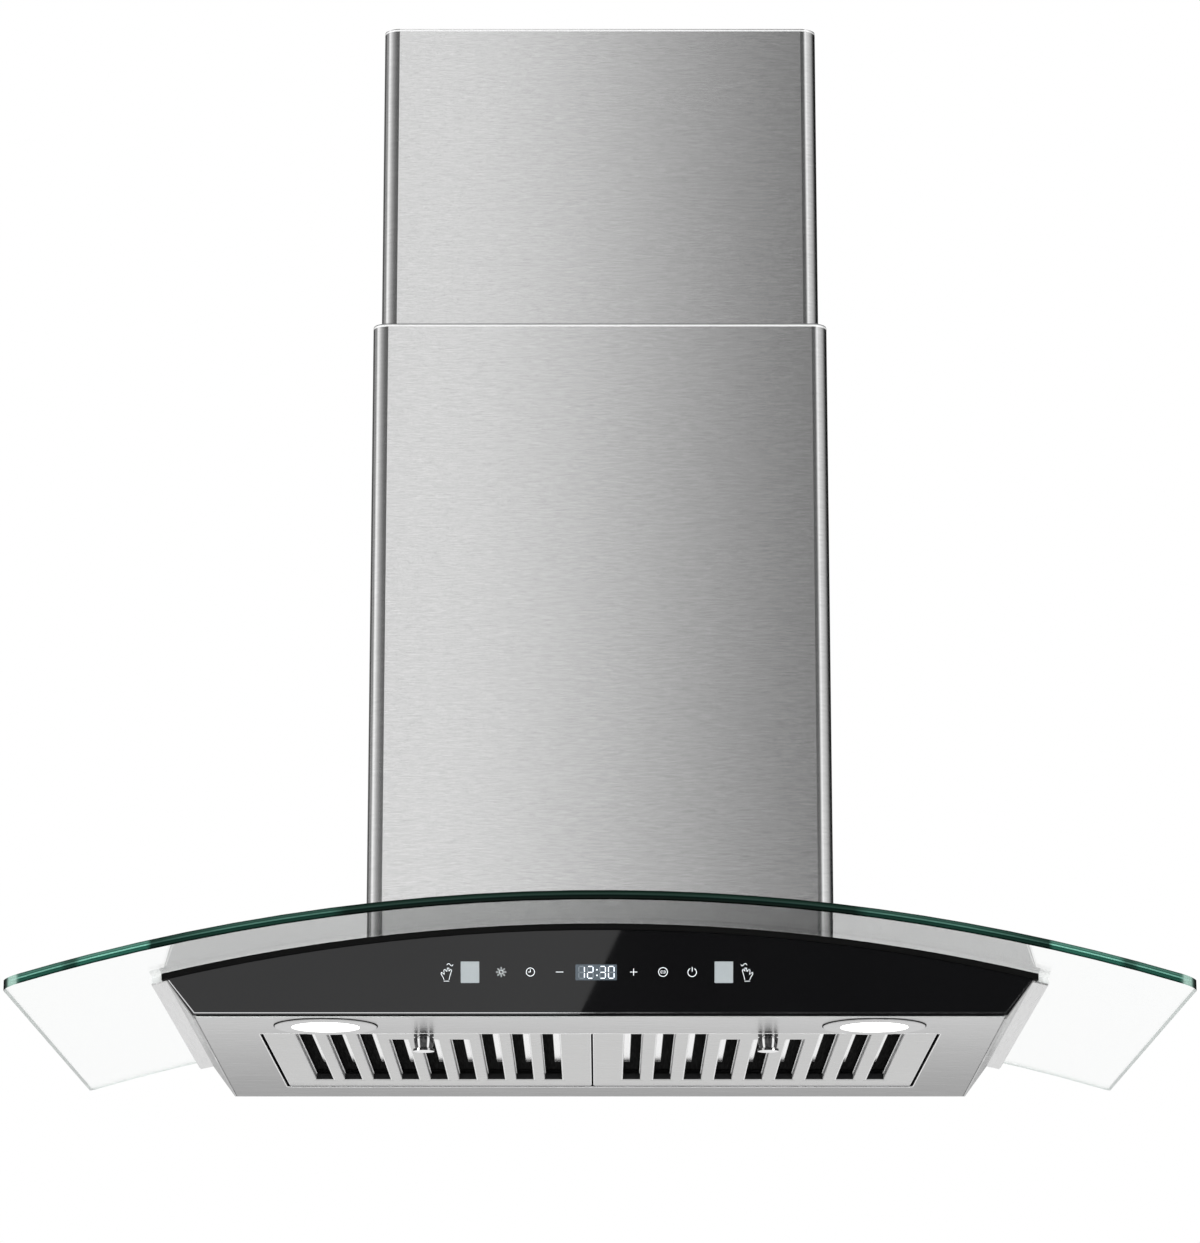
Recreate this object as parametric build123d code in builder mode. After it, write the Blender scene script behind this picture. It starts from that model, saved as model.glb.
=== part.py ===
from build123d import *
import os
from math import cos, pi, radians, sin, sqrt, tan

os.makedirs("parts", exist_ok=True)

# Wall mount range hood: curved glass canopy, slim steel tray, two part chimney.
# Frame: X to the right, +Y towards the wall, Z up. The wall is y = 0 and the origin
# is midway between the two keyholes that hang the hood on its wall screws.

# Shared sizes
sheet = 1.0
overrun = 60.0
eighth_turn = pi / 4
hexagon_sides = 6
skin_clear = 0.1
running_clear = 0.3
pin_clear = 0.06
seat_clear = 0.02

# Glass canopy
glass_width = 750.0
glass_depth = 500.0
glass_thickness = 6.0
arch_radius = 1310.0
glass_wall_gap = 2.0
glass_front_bow = 10.0
glass_front_corner = 11.0
glass_rear_corner = 4.5
hang_above_glass = 160.0
notch_half_width = 133.0
notch_reach = 257.0
notch_corner = 9.0

# Tray below the glass
tray_height = 58.5
tray_depth = 392.0
tray_half_front = 264.0
tray_half_back = 268.5
side_lean = 36.5
face_lean = 19.9
flange_half_front = 290.0
flange_half_back = 294.0
side_flange = 14.0
plate_edge_clear = 0.4
seal_thickness = 4.0
seal_proud = 0.6
seal_depth = 7.0
seal_half_width = 284.0
gasket_width = 22.0
gasket_proud = 0.9

# Control panel
panel_thickness = 4.0
panel_inset = 0.8
panel_foot_gap = 0.8
panel_top_clear = 0.2
window_width = 216.0
window_height = 27.0
icon_row = 30.2
icon_centre = -2.0
icon_pitch = 19.0
board_width = 208.0
board_height = 22.0
board_thickness = 1.6
board_stand_off = 6.5
holder_wall = 1.5
holder_clear = 0.4
display_width = 27.0
display_height = 11.5
display_offset = -0.6
sensor_width = 12.5
sensor_height = 14.0
sensor_offset = 82.2
touch_spring_radius = 3.4
touch_spring_hole_radius = 2.2
touch_spring_places_share = (-3.27, -2.27, -1.27, 1.24, 2.24, 3.24)

# Filter opening and filters
opening_half_width = 226.5
opening_front = 321.5
opening_back = 53.0
opening_corner = 3.0
opening_flange = 6.0
filter_side_gap = 2.4
filter_front_gap = 1.6
filter_back_gap = 2.2
seam_centre = -5.4
seam_gap = 1.8
filter_recess = 0.8
filter_sheet = 0.8
filter_height = 10.0
filter_lip = 9.0
filter_cross_gap = 5.0
slot_count = 9
slot_end_margin = 27.0
slot_width = 12.3
slot_front = 316.0
slot_front_at_knob = 287.0
slot_back = 80.4
slot_flare = 1.6
slot_flare_length = 5.0
slot_rim_height = 4.4
slot_lip_radius = 1.2
baffle_width = 17.0
baffle_leg = 3.8
knob_outset = 2.2
knob_from_wall = 310.5
knob_base_radius = 6.7
knob_base_height = 1.8
knob_groove_radius = 6.0
knob_groove_height = 0.7
knob_belly_radius = 6.3
knob_waist_radius = 5.5
knob_head_radius = 7.0
knob_head_height = 1.5
knob_height = 11.2
knob_stud_radius = 2.0
knob_stud_length = 5.0
knob_nut_radius = 4.0
knob_nut_height = 2.4
pivot_from_edge = 5.0
pivot_height = 4.5
pivot_radius = 1.5
pivot_spread = 70.0
ear_thickness = 3.0
ear_radius = 3.0
ear_side_clear = 0.4
ear_rise = 8.0
ear_arm = 6.0
lug_thickness = 1.5
lug_radius = 3.2
rail_sheet = 1.5
rail_setback = 8.0
rail_foot = 14.0
rail_half_length = 238.0
flange_notch_clear = 1.0
magnet_radius = 5.0
magnet_height = 4.0
magnet_spread = 25.0
magnet_gap = 0.3
magnet_setback = 7.0
bracket_width = 12.0
bracket_foot = 14.0

# Lamps
lamp_offset = 180.0
lamp_from_wall = 357.0
bezel_radius = 33.5
bezel_flange = 1.2
bezel_chamfer = 0.4
bezel_tube_radius = 28.0
bezel_tube_wall = 2.0
bezel_tube_height = 14.0
lens_radius = 22.0
lens_seat_height = 2.4
lens_edge_clear = 0.3
lens_recess = 0.4
lamp_board_height = 4.4
lamp_board_thickness = 1.6
lamp_board_radius = 23.5
lamp_housing_height = 9.0
lamp_fin_count = 5
lamp_fin_height = 5.0
lamp_fin_thickness = 1.6
lamp_fin_pitch = 8.0
lamp_hole_clear = 0.5
clip_width = 8.0
clip_foot = 8.0
clip_sheet = 0.6
clip_height = 9.0

# Hanging plate
back_sheet = 1.5
hang_plate_half = 130.0
hang_plate_rise = 22.0
keyhole_offset = 100.0
keyhole_slot_radius = 2.8
keyhole_head_radius = 5.5
keyhole_drop = 12.0
lower_fixing_offset = 180.0
lower_fixing_rise = 30.0
lower_fixing_radius = 3.2

# Blower case
case_half = 122.0
case_front = 245.0
case_back = 14.0
case_top = 36.0
case_foot = 8.0
case_opening_inset = 2.0

# Scroll housing, motor and impeller
blower_from_wall = 104.0
blower_axis_height = -72.0
scroll_half = 52.0
scroll_start_radius = 76.0
scroll_step = 8.0
scroll_tongue = 20.0
inlet_radius = 54.0
impeller_radius = 67.0
impeller_inner_radius = 55.0
impeller_half = 46.0
impeller_ring = 2.5
impeller_disc = 3.0
blade_count = 36
blade_thickness = 1.2
blade_angle = 32.0
blade_length = 12.5
hub_radius = 14.0
hub_half = 12.0
shaft_radius = 4.0
shaft_end = 30.0
motor_radius = 40.0
motor_start = 60.0
motor_length = 48.0
motor_boss_radius = 12.0
motor_boss_length = 6.0
motor_vent_count = 12
motor_vent_width = 3.0
motor_vent_depth = 2.0
motor_chamfer = 3.2
bracket_ring_wall = 2.5
bracket_ring_width = 16.0
bracket_arm_count = 3
bracket_arm_width = 12.0
bracket_pad_length = 14.0

# Duct collar and damper
collar_from_wall = 130.0
collar_radius = 74.5
collar_wall = 2.0
collar_height = 45.0
collar_flange_radius = 84.0
collar_flange_height = 2.0
damper_height = 18.0
damper_offset = 3.2
damper_thickness = 1.2
damper_edge_clear = 0.8
damper_ledge = 1.6
damper_ledge_height = 1.5
damper_knuckle_radius = 2.3
damper_pin_radius = 1.25

# Electrical pieces on the case
box_centre = -58.0
box_length = 92.0
box_depth = 27.0
box_height = 30.0
box_wall = 1.5
box_front_gap = 3.0
box_cover_height = 1.5
gland_radius = 8.0
gland_length = 12.0
gland_root = 8.0
gland_x = -84.0
gland_bore_radius = 4.0
gland_nut_radius = 11.0
gland_nut_height = 4.0
capacitor_centre = 88.0
capacitor_from_wall = 31.0
capacitor_radius = 14.0
capacitor_height = 48.0
capacitor_cap_height = 3.0
panel_lead_radius = 2.5
panel_lead_place = 72.0
panel_lead_bend = 20.0
panel_lead_rise = 22.0
lamp_lead_radius = 1.7
lamp_lead_place = 88.0
lamp_lead_bend = 9.0
lamp_lead_offset = 4.0
lead_hole_clear = 1.0

# Chimney
lower_width = 319.0
lower_depth = 270.0
lower_top = 284.0
chimney_corner = 11.0
chimney_front_block = 44.0
chimney_flange = 15.0
upper_wall_gap = 1.3
upper_width = 308.0
upper_depth = 263.5
upper_top = 507.0
upper_length = 440.0
chimney_foot_clear = 0.3
glide_length = 24.0
glide_width = 20.0
glide_clear = 0.3
glide_from_top = 6.0
glide_spread = 80.0
ceiling_bracket_height = 22.0
ceiling_bracket_drop = 8.0
ceiling_bracket_tab = 30.0
ceiling_bracket_hole_radius = 3.0
ceiling_bracket_hole_offset = 110.0
ear_bracket_width = 20.0
ear_bracket_sheet = 1.5
ear_bracket_base = 14.0
ear_bracket_rise = 24.0
ear_bracket_from_wall = 120.0

# Glass bolts
bolt_offset = 143.0
bolt_rows = (70.0, 215.0)
bolt_radius = 3.0
bolt_head_radius = 5.5
bolt_head_height = 3.0
bolt_hole_clear = 0.3
washer_radius = 6.5
washer_height = 1.0
glass_hole_clear = 1.5
nut_radius = 5.0
nut_height = 3.2
bolt_tip = 2.0

# Worked out places
arch_axis = -hang_above_glass - glass_thickness - arch_radius
tray_bottom = -hang_above_glass - glass_thickness - tray_height
plate_top_radius = arch_radius - seal_thickness
plate_under_radius = plate_top_radius - sheet
glass_top_radius = arch_radius + glass_thickness
side_slope = tan(radians(side_lean))
side_wall = sheet / cos(radians(side_lean))
face_slope = tan(radians(face_lean))
opening_depth = opening_front - opening_back
filter_front = opening_front - filter_front_gap
filter_back = opening_back + filter_back_gap
filter_bottom = tray_bottom + filter_recess
filter_top = filter_bottom + filter_height
pivot_y = -(filter_back + pivot_from_edge)
pivot_z = filter_bottom + pivot_height
plate_inside = tray_bottom + sheet
rail_y = -(opening_back - rail_setback)
axle_y = -blower_from_wall
axle_z = blower_axis_height
collar_y = -collar_from_wall
collar_base = case_top
pin_z = collar_base + damper_height
box_y = -(case_front - box_front_gap - box_depth / 2)
lead_depth = panel_thickness + board_stand_off + board_thickness + holder_wall
lead_level = (
    tray_bottom
    + icon_row * cos(radians(face_lean))
    + lead_depth * sin(radians(face_lean))
)
sides = (("left", -1), ("right", 1))

face_plane = Plane(
    origin=(0, -tray_depth, tray_bottom),
    x_dir=(1, 0, 0),
    z_dir=(0, -cos(radians(face_lean)), -sin(radians(face_lean))),
)


def save(name, piece):
    """Label a finished piece and write it."""
    piece.part.label = name
    export_step(piece.part, f"parts/{name}.step")


def arch_height(x, radius):
    """Height of the arch of this radius at distance x from the middle."""
    return arch_axis + sqrt(radius**2 - x**2)


def glass_plane(x, y, height):
    """Plane square to the glass at x, y, this height above its underside."""
    rise = sqrt(arch_radius**2 - x**2)
    under_glass = Plane(
        origin=(x, y, arch_axis + rise),
        x_dir=(0, -1, 0),
        z_dir=(x / arch_radius, 0, rise / arch_radius),
    )
    return under_glass.offset(height)


def tray_half(y):
    """Half width of the tray's bottom edge at depth y."""
    share = (y + tray_depth) / tray_depth
    return tray_half_front + share * (tray_half_back - tray_half_front)


def arch_strip(inner_radius, outer_radius, half_width):
    """Cross section of a curved sheet that follows the arch."""
    with BuildSketch(Plane.XZ) as strip:
        with Locations((0, arch_axis)):
            Circle(outer_radius)
            Circle(inner_radius, mode=Mode.SUBTRACT)
        with Locations((0, arch_axis + outer_radius)):
            Rectangle(2 * half_width, outer_radius, mode=Mode.INTERSECT)
    return strip.sketch


def tray_profile(bottom, inset, half_bottom, top_radius):
    """Cross section of the tray: flat bottom, leaning sides, arched top."""
    low = half_bottom - inset + side_slope * (bottom - tray_bottom)
    high = low + side_slope * tray_height
    with BuildSketch(Plane.XZ) as profile:
        with BuildLine():
            Polyline(
                (-low, bottom),
                (low, bottom),
                (high, bottom + tray_height),
                (-high, bottom + tray_height),
                close=True,
            )
        make_face()
        with Locations((0, arch_axis)):
            Circle(top_radius, mode=Mode.INTERSECT)
    return profile.sketch


def tapered_plan(front_half, back_half, front, back, level):
    """Plan outline that widens evenly from the front towards the wall."""
    with BuildSketch(Plane.XY.offset(level)) as plan:
        with BuildLine():
            Polyline(
                (-front_half, -front),
                (front_half, -front),
                (back_half, -back),
                (-back_half, -back),
                close=True,
            )
        make_face()
    return plan.sketch


low_level = tray_bottom - overrun
full_rise = tray_height + 2 * overrun

# Glass canopy: arched across its width, bowed front edge, notch for the blower
glass_front = glass_wall_gap + glass_depth
glass_half = glass_width / 2

with BuildSketch(Plane.XY.offset(low_level)) as glass_plan:
    with BuildLine():
        Polyline(
            (glass_half, -glass_front + glass_front_bow),
            (glass_half, -glass_wall_gap),
            (-glass_half, -glass_wall_gap),
            (-glass_half, -glass_front + glass_front_bow),
        )
        ThreePointArc(
            (-glass_half, -glass_front + glass_front_bow),
            (0, -glass_front),
            (glass_half, -glass_front + glass_front_bow),
        )
    make_face()
    fillet(glass_plan.vertices().group_by(Axis.Y)[0], glass_front_corner)
    fillet(glass_plan.vertices().group_by(Axis.Y)[-1], glass_rear_corner)
    RectangleRounded(
        2 * notch_half_width, 2 * notch_reach, notch_corner, mode=Mode.SUBTRACT
    )

with BuildPart() as glass_canopy:
    extrude(arch_strip(arch_radius, glass_top_radius, glass_half + overrun), amount=glass_front + overrun)
    extrude(glass_plan.sketch, amount=full_rise, mode=Mode.INTERSECT)
    for side in (-1, 1):
        for row in bolt_rows:
            with BuildSketch(glass_plane(side * bolt_offset, -row, 0)):
                Circle(bolt_radius + glass_hole_clear)
            extrude(amount=overrun, both=True, mode=Mode.SUBTRACT)
save("glass_canopy", glass_canopy)

# Tray top plate: arched sheet under the glass, open under the blower case
case_centre = -(case_front + case_back) / 2
case_length = case_front - case_back
with BuildPart() as tray_top_plate:
    whole_sheet = arch_strip(plate_under_radius, plate_top_radius, flange_half_back + overrun)
    extrude(whole_sheet, amount=glass_front)
    extrude(
        tapered_plan(
            flange_half_front, flange_half_back, glass_front, back_sheet, low_level
        ),
        amount=full_rise,
        mode=Mode.INTERSECT,
    )
    split(bisect_by=face_plane.offset(-panel_thickness - sheet), keep=Keep.BOTTOM)
    with BuildSketch(Plane.XY.offset(low_level)):
        with Locations((0, case_centre)):
            Rectangle(
                2 * (case_half - case_opening_inset),
                case_length - 2 * case_opening_inset,
            )
    extrude(amount=full_rise, mode=Mode.SUBTRACT)
    for side in (-1, 1):
        for row in bolt_rows:
            with BuildSketch(glass_plane(side * bolt_offset, -row, 0)):
                Circle(bolt_radius + bolt_hole_clear)
            extrude(amount=overrun, both=True, mode=Mode.SUBTRACT)
save("tray_top_plate", tray_top_plate)

# Side gaskets between the top plate's edges and the glass
gasket_inner_front = flange_half_front + gasket_proud - gasket_width
gasket_inner_back = flange_half_back + gasket_proud - gasket_width
with BuildPart() as side_gaskets:
    extrude(
        arch_strip(
            plate_top_radius + skin_clear,
            arch_radius - skin_clear,
            flange_half_back + overrun,
        ),
        amount=glass_front,
    )
    extrude(
        tapered_plan(
            flange_half_front + gasket_proud,
            flange_half_back + gasket_proud,
            tray_depth + tray_height,
            glass_wall_gap,
            low_level,
        ),
        amount=full_rise,
        mode=Mode.INTERSECT,
    )
    extrude(
        tapered_plan(
            gasket_inner_front,
            gasket_inner_back,
            tray_depth + tray_height,
            glass_wall_gap - overrun,
            low_level,
        ),
        amount=full_rise,
        mode=Mode.SUBTRACT,
    )
    split(bisect_by=face_plane.offset(-seal_depth - running_clear), keep=Keep.BOTTOM)
save("side_gaskets", side_gaskets)

# Front seal: rubber strip between the control panel's top edge and the glass
with BuildPart() as front_seal:
    extrude(
        arch_strip(
            plate_top_radius + skin_clear,
            arch_radius - skin_clear,
            seal_half_width,
        ),
        amount=glass_front,
    )
    split(bisect_by=face_plane.offset(seal_proud), keep=Keep.BOTTOM)
    split(bisect_by=face_plane.offset(-seal_depth), keep=Keep.TOP)
save("front_seal", front_seal)

# Control panel: black glass plate on the leaning front
with BuildPart() as control_panel_glass:
    extrude(
        tray_profile(
            plate_inside + panel_foot_gap,
            panel_inset,
            tray_half_front,
            plate_top_radius - panel_top_clear,
        ),
        amount=glass_front,
    )
    split(bisect_by=face_plane, keep=Keep.BOTTOM)
    split(bisect_by=face_plane.offset(-panel_thickness), keep=Keep.TOP)
save("control_panel_glass", control_panel_glass)

# Front fascia: steel sheet behind the panel, with the window for its electronics
fascia_back = face_plane.offset(-panel_thickness - sheet)
with BuildPart() as front_fascia:
    extrude(
        tray_profile(
            plate_inside, 0, tray_half_front, plate_top_radius - panel_top_clear
        ),
        amount=glass_front,
    )
    split(bisect_by=face_plane.offset(-panel_thickness), keep=Keep.BOTTOM)
    split(bisect_by=fascia_back, keep=Keep.TOP)
    with BuildSketch(fascia_back):
        with Locations((icon_centre, icon_row)):
            RectangleRounded(window_width, window_height, opening_corner)
    extrude(amount=2 * sheet, both=True, mode=Mode.SUBTRACT)
save("front_fascia", front_fascia)


def side_section(y, side):
    """Cross section of one side wall at depth y, with its inward bottom flange."""
    foot = tray_half(y)
    top = foot + side_slope * tray_height
    inner = foot - side_wall
    shelf = side_slope * sheet
    outline = (
        (foot, tray_bottom),
        (top, tray_bottom + tray_height),
        (top - side_wall, tray_bottom + tray_height),
        (inner + 2 * shelf, tray_bottom + 2 * sheet),
        (foot - side_flange, tray_bottom + 2 * sheet),
        (foot - side_flange, plate_inside),
        (inner + shelf, plate_inside),
        (inner, tray_bottom),
    )
    with BuildSketch(Plane.XZ.offset(-y)) as section:
        with BuildLine():
            Polyline(*[(side * x, z) for x, z in outline], close=True)
        make_face()
    return section.sketch


under_cylinder = extrude(
    Plane.XZ.offset(-overrun) * Pos(0, arch_axis) * Circle(plate_under_radius - skin_clear),
    amount=glass_front + 2 * overrun,
)

# Side panels: leaning walls that widen slightly towards the wall
for side_name, side in sides:
    with BuildPart() as side_panel:
        loft(
            [side_section(-tray_depth - tray_height, side), side_section(-back_sheet, side)],
            ruled=True,
        )
        split(bisect_by=fascia_back, keep=Keep.BOTTOM)
        add(under_cylinder, mode=Mode.INTERSECT)
    save(f"{side_name}_side_panel", side_panel)

# Underside plate: filter opening with an upturned flange, and two lamp holes
plate_inset = side_wall + plate_edge_clear
lamp_hole_radius = bezel_tube_radius + lamp_hole_clear
opening_centre = -(opening_front + opening_back) / 2
with BuildPart() as underside_plate:
    extrude(
        tapered_plan(
            tray_half_front - plate_inset,
            tray_half_back - plate_inset,
            tray_depth,
            back_sheet,
            tray_bottom,
        ),
        amount=sheet,
    )
    with BuildSketch(Plane.XY.offset(tray_bottom)):
        with Locations((0, opening_centre)):
            RectangleRounded(
                2 * (opening_half_width + sheet),
                opening_depth + 2 * sheet,
                opening_corner + sheet,
            )
    extrude(amount=sheet + opening_flange)
    with BuildSketch(Plane.XY.offset(tray_bottom)):
        with Locations((0, opening_centre)):
            RectangleRounded(2 * opening_half_width, opening_depth, opening_corner)
        with Locations((-lamp_offset, -lamp_from_wall), (lamp_offset, -lamp_from_wall)):
            Circle(lamp_hole_radius)
    extrude(amount=sheet + opening_flange, mode=Mode.SUBTRACT)
save("underside_plate", underside_plate)

# Back plate: closes the tray and rises behind the blower to the two keyholes
with BuildPart() as back_plate:
    extrude(
        tray_profile(
            tray_bottom, 0, tray_half_back, plate_under_radius - skin_clear
        ),
        amount=back_sheet,
    )
    with BuildSketch(Plane.XZ):
        with Locations((0, tray_bottom + tray_height / 2)):
            Rectangle(
                2 * hang_plate_half,
                hang_plate_rise - tray_bottom - tray_height / 2,
                align=(Align.CENTER, Align.MIN),
            )
    extrude(amount=back_sheet)
    with BuildSketch(Plane.XZ):
        with Locations((-keyhole_offset, 0), (keyhole_offset, 0)):
            Circle(keyhole_slot_radius)
            Rectangle(
                2 * keyhole_slot_radius,
                keyhole_drop,
                align=(Align.CENTER, Align.MAX),
            )
        with Locations((-keyhole_offset, -keyhole_drop), (keyhole_offset, -keyhole_drop)):
            Circle(keyhole_head_radius)
        with Locations(
            (-lower_fixing_offset, tray_bottom + lower_fixing_rise),
            (lower_fixing_offset, tray_bottom + lower_fixing_rise),
        ):
            Circle(lower_fixing_radius)
    extrude(amount=back_sheet, mode=Mode.SUBTRACT)
save("back_plate", back_plate)

# Touch electronics behind the panel: holder, board, display, sensors, springs
board_front = face_plane.offset(-panel_thickness - board_stand_off)
board_back = board_front.offset(-board_thickness)
with BuildPart() as board_holder:
    with BuildSketch(board_back.offset(-holder_wall)):
        with Locations((icon_centre, icon_row)):
            Rectangle(
                board_width + 2 * (holder_wall + holder_clear),
                board_height + 2 * (holder_wall + holder_clear),
            )
    extrude(amount=holder_wall + board_thickness + board_stand_off - sheet)
    with BuildSketch(board_back):
        with Locations((icon_centre, icon_row)):
            Rectangle(board_width + 2 * holder_clear, board_height + 2 * holder_clear)
    extrude(amount=board_thickness + board_stand_off, mode=Mode.SUBTRACT)
    with BuildSketch(board_back.offset(-holder_wall)):
        with Locations((panel_lead_place, icon_row)):
            Circle(panel_lead_radius + lead_hole_clear)
        with Locations((-lamp_lead_place, icon_row), (lamp_lead_place, icon_row)):
            Circle(lamp_lead_radius + lead_hole_clear)
    extrude(amount=2 * holder_wall, both=True, mode=Mode.SUBTRACT)
save("board_holder", board_holder)

with BuildPart() as touch_board:
    with BuildSketch(board_back):
        with Locations((icon_centre, icon_row)):
            Rectangle(board_width, board_height)
    extrude(amount=board_thickness)
save("touch_board", touch_board)

front_reach = board_stand_off - skin_clear
with BuildPart() as display_module:
    with BuildSketch(board_front):
        with Locations((icon_centre + display_offset, icon_row)):
            Rectangle(display_width, display_height)
    extrude(amount=front_reach)
save("display_module", display_module)

with BuildPart() as gesture_sensors:
    with BuildSketch(board_front):
        with Locations(
            (icon_centre - sensor_offset, icon_row),
            (icon_centre + sensor_offset, icon_row),
        ):
            Rectangle(sensor_width, sensor_height)
    extrude(amount=front_reach)
save("gesture_sensors", gesture_sensors)

with BuildPart() as touch_springs:
    for place_share in touch_spring_places_share:
        with BuildSketch(board_front):
            with Locations((icon_centre + place_share * icon_pitch, icon_row)):
                Circle(touch_spring_radius)
                Circle(touch_spring_hole_radius, mode=Mode.SUBTRACT)
        extrude(amount=front_reach)
save("touch_springs", touch_springs)

# Baffle filters: pan with nine slots, upper channels, pull knob
filter_edges = {
    "left": (-opening_half_width + filter_side_gap, seam_centre - seam_gap / 2),
    "right": (seam_centre + seam_gap / 2, opening_half_width - filter_side_gap),
}
filter_depth = filter_front - filter_back
filter_mid_y = -(filter_front + filter_back) / 2
filter_inside = filter_bottom + filter_sheet
cross_wall_y = -(slot_back - filter_cross_gap)


def slot_places(low_x, high_x):
    """Centres of the slots across one filter."""
    pitch = (high_x - low_x - 2 * slot_end_margin) / (slot_count - 1)
    return [low_x + slot_end_margin + index * pitch for index in range(slot_count)]


def slot_start(index):
    """Front end of a slot: the three behind the knob start further back."""
    beside_middle = abs(index - (slot_count - 1) / 2) <= 1
    return slot_front_at_knob if beside_middle else slot_front


def slot_outline(centre, front, grow):
    """One slot with its rear end flared, drawn in plan."""
    half = slot_width / 2 + grow
    wide = half + slot_flare
    flare = slot_back + slot_flare_length
    with BuildSketch(Plane.XY.offset(filter_bottom)) as slot:
        with BuildLine():
            Polyline(
                (centre - half, -front - grow),
                (centre + half, -front - grow),
                (centre + half, -flare),
                (centre + wide, -slot_back + grow),
                (centre - wide, -slot_back + grow),
                (centre - half, -flare),
                close=True,
            )
        make_face()
    return slot.sketch


def knob_place(side_name):
    """Middle of a knob across the hood."""
    low_x, high_x = filter_edges[side_name]
    outset = -knob_outset if side_name == "left" else knob_outset
    return (low_x + high_x) / 2 + outset


def pivot_places(side_name):
    """Middles of the two hinges of one filter."""
    low_x, high_x = filter_edges[side_name]
    middle = (low_x + high_x) / 2
    return (middle - pivot_spread, middle + pivot_spread)


ear_slot = ear_thickness / 2 + ear_side_clear
lug_reach = ear_slot + lug_thickness
knob_end = filter_bottom - knob_height
barrel_top = filter_bottom - knob_base_height - knob_groove_height

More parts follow.
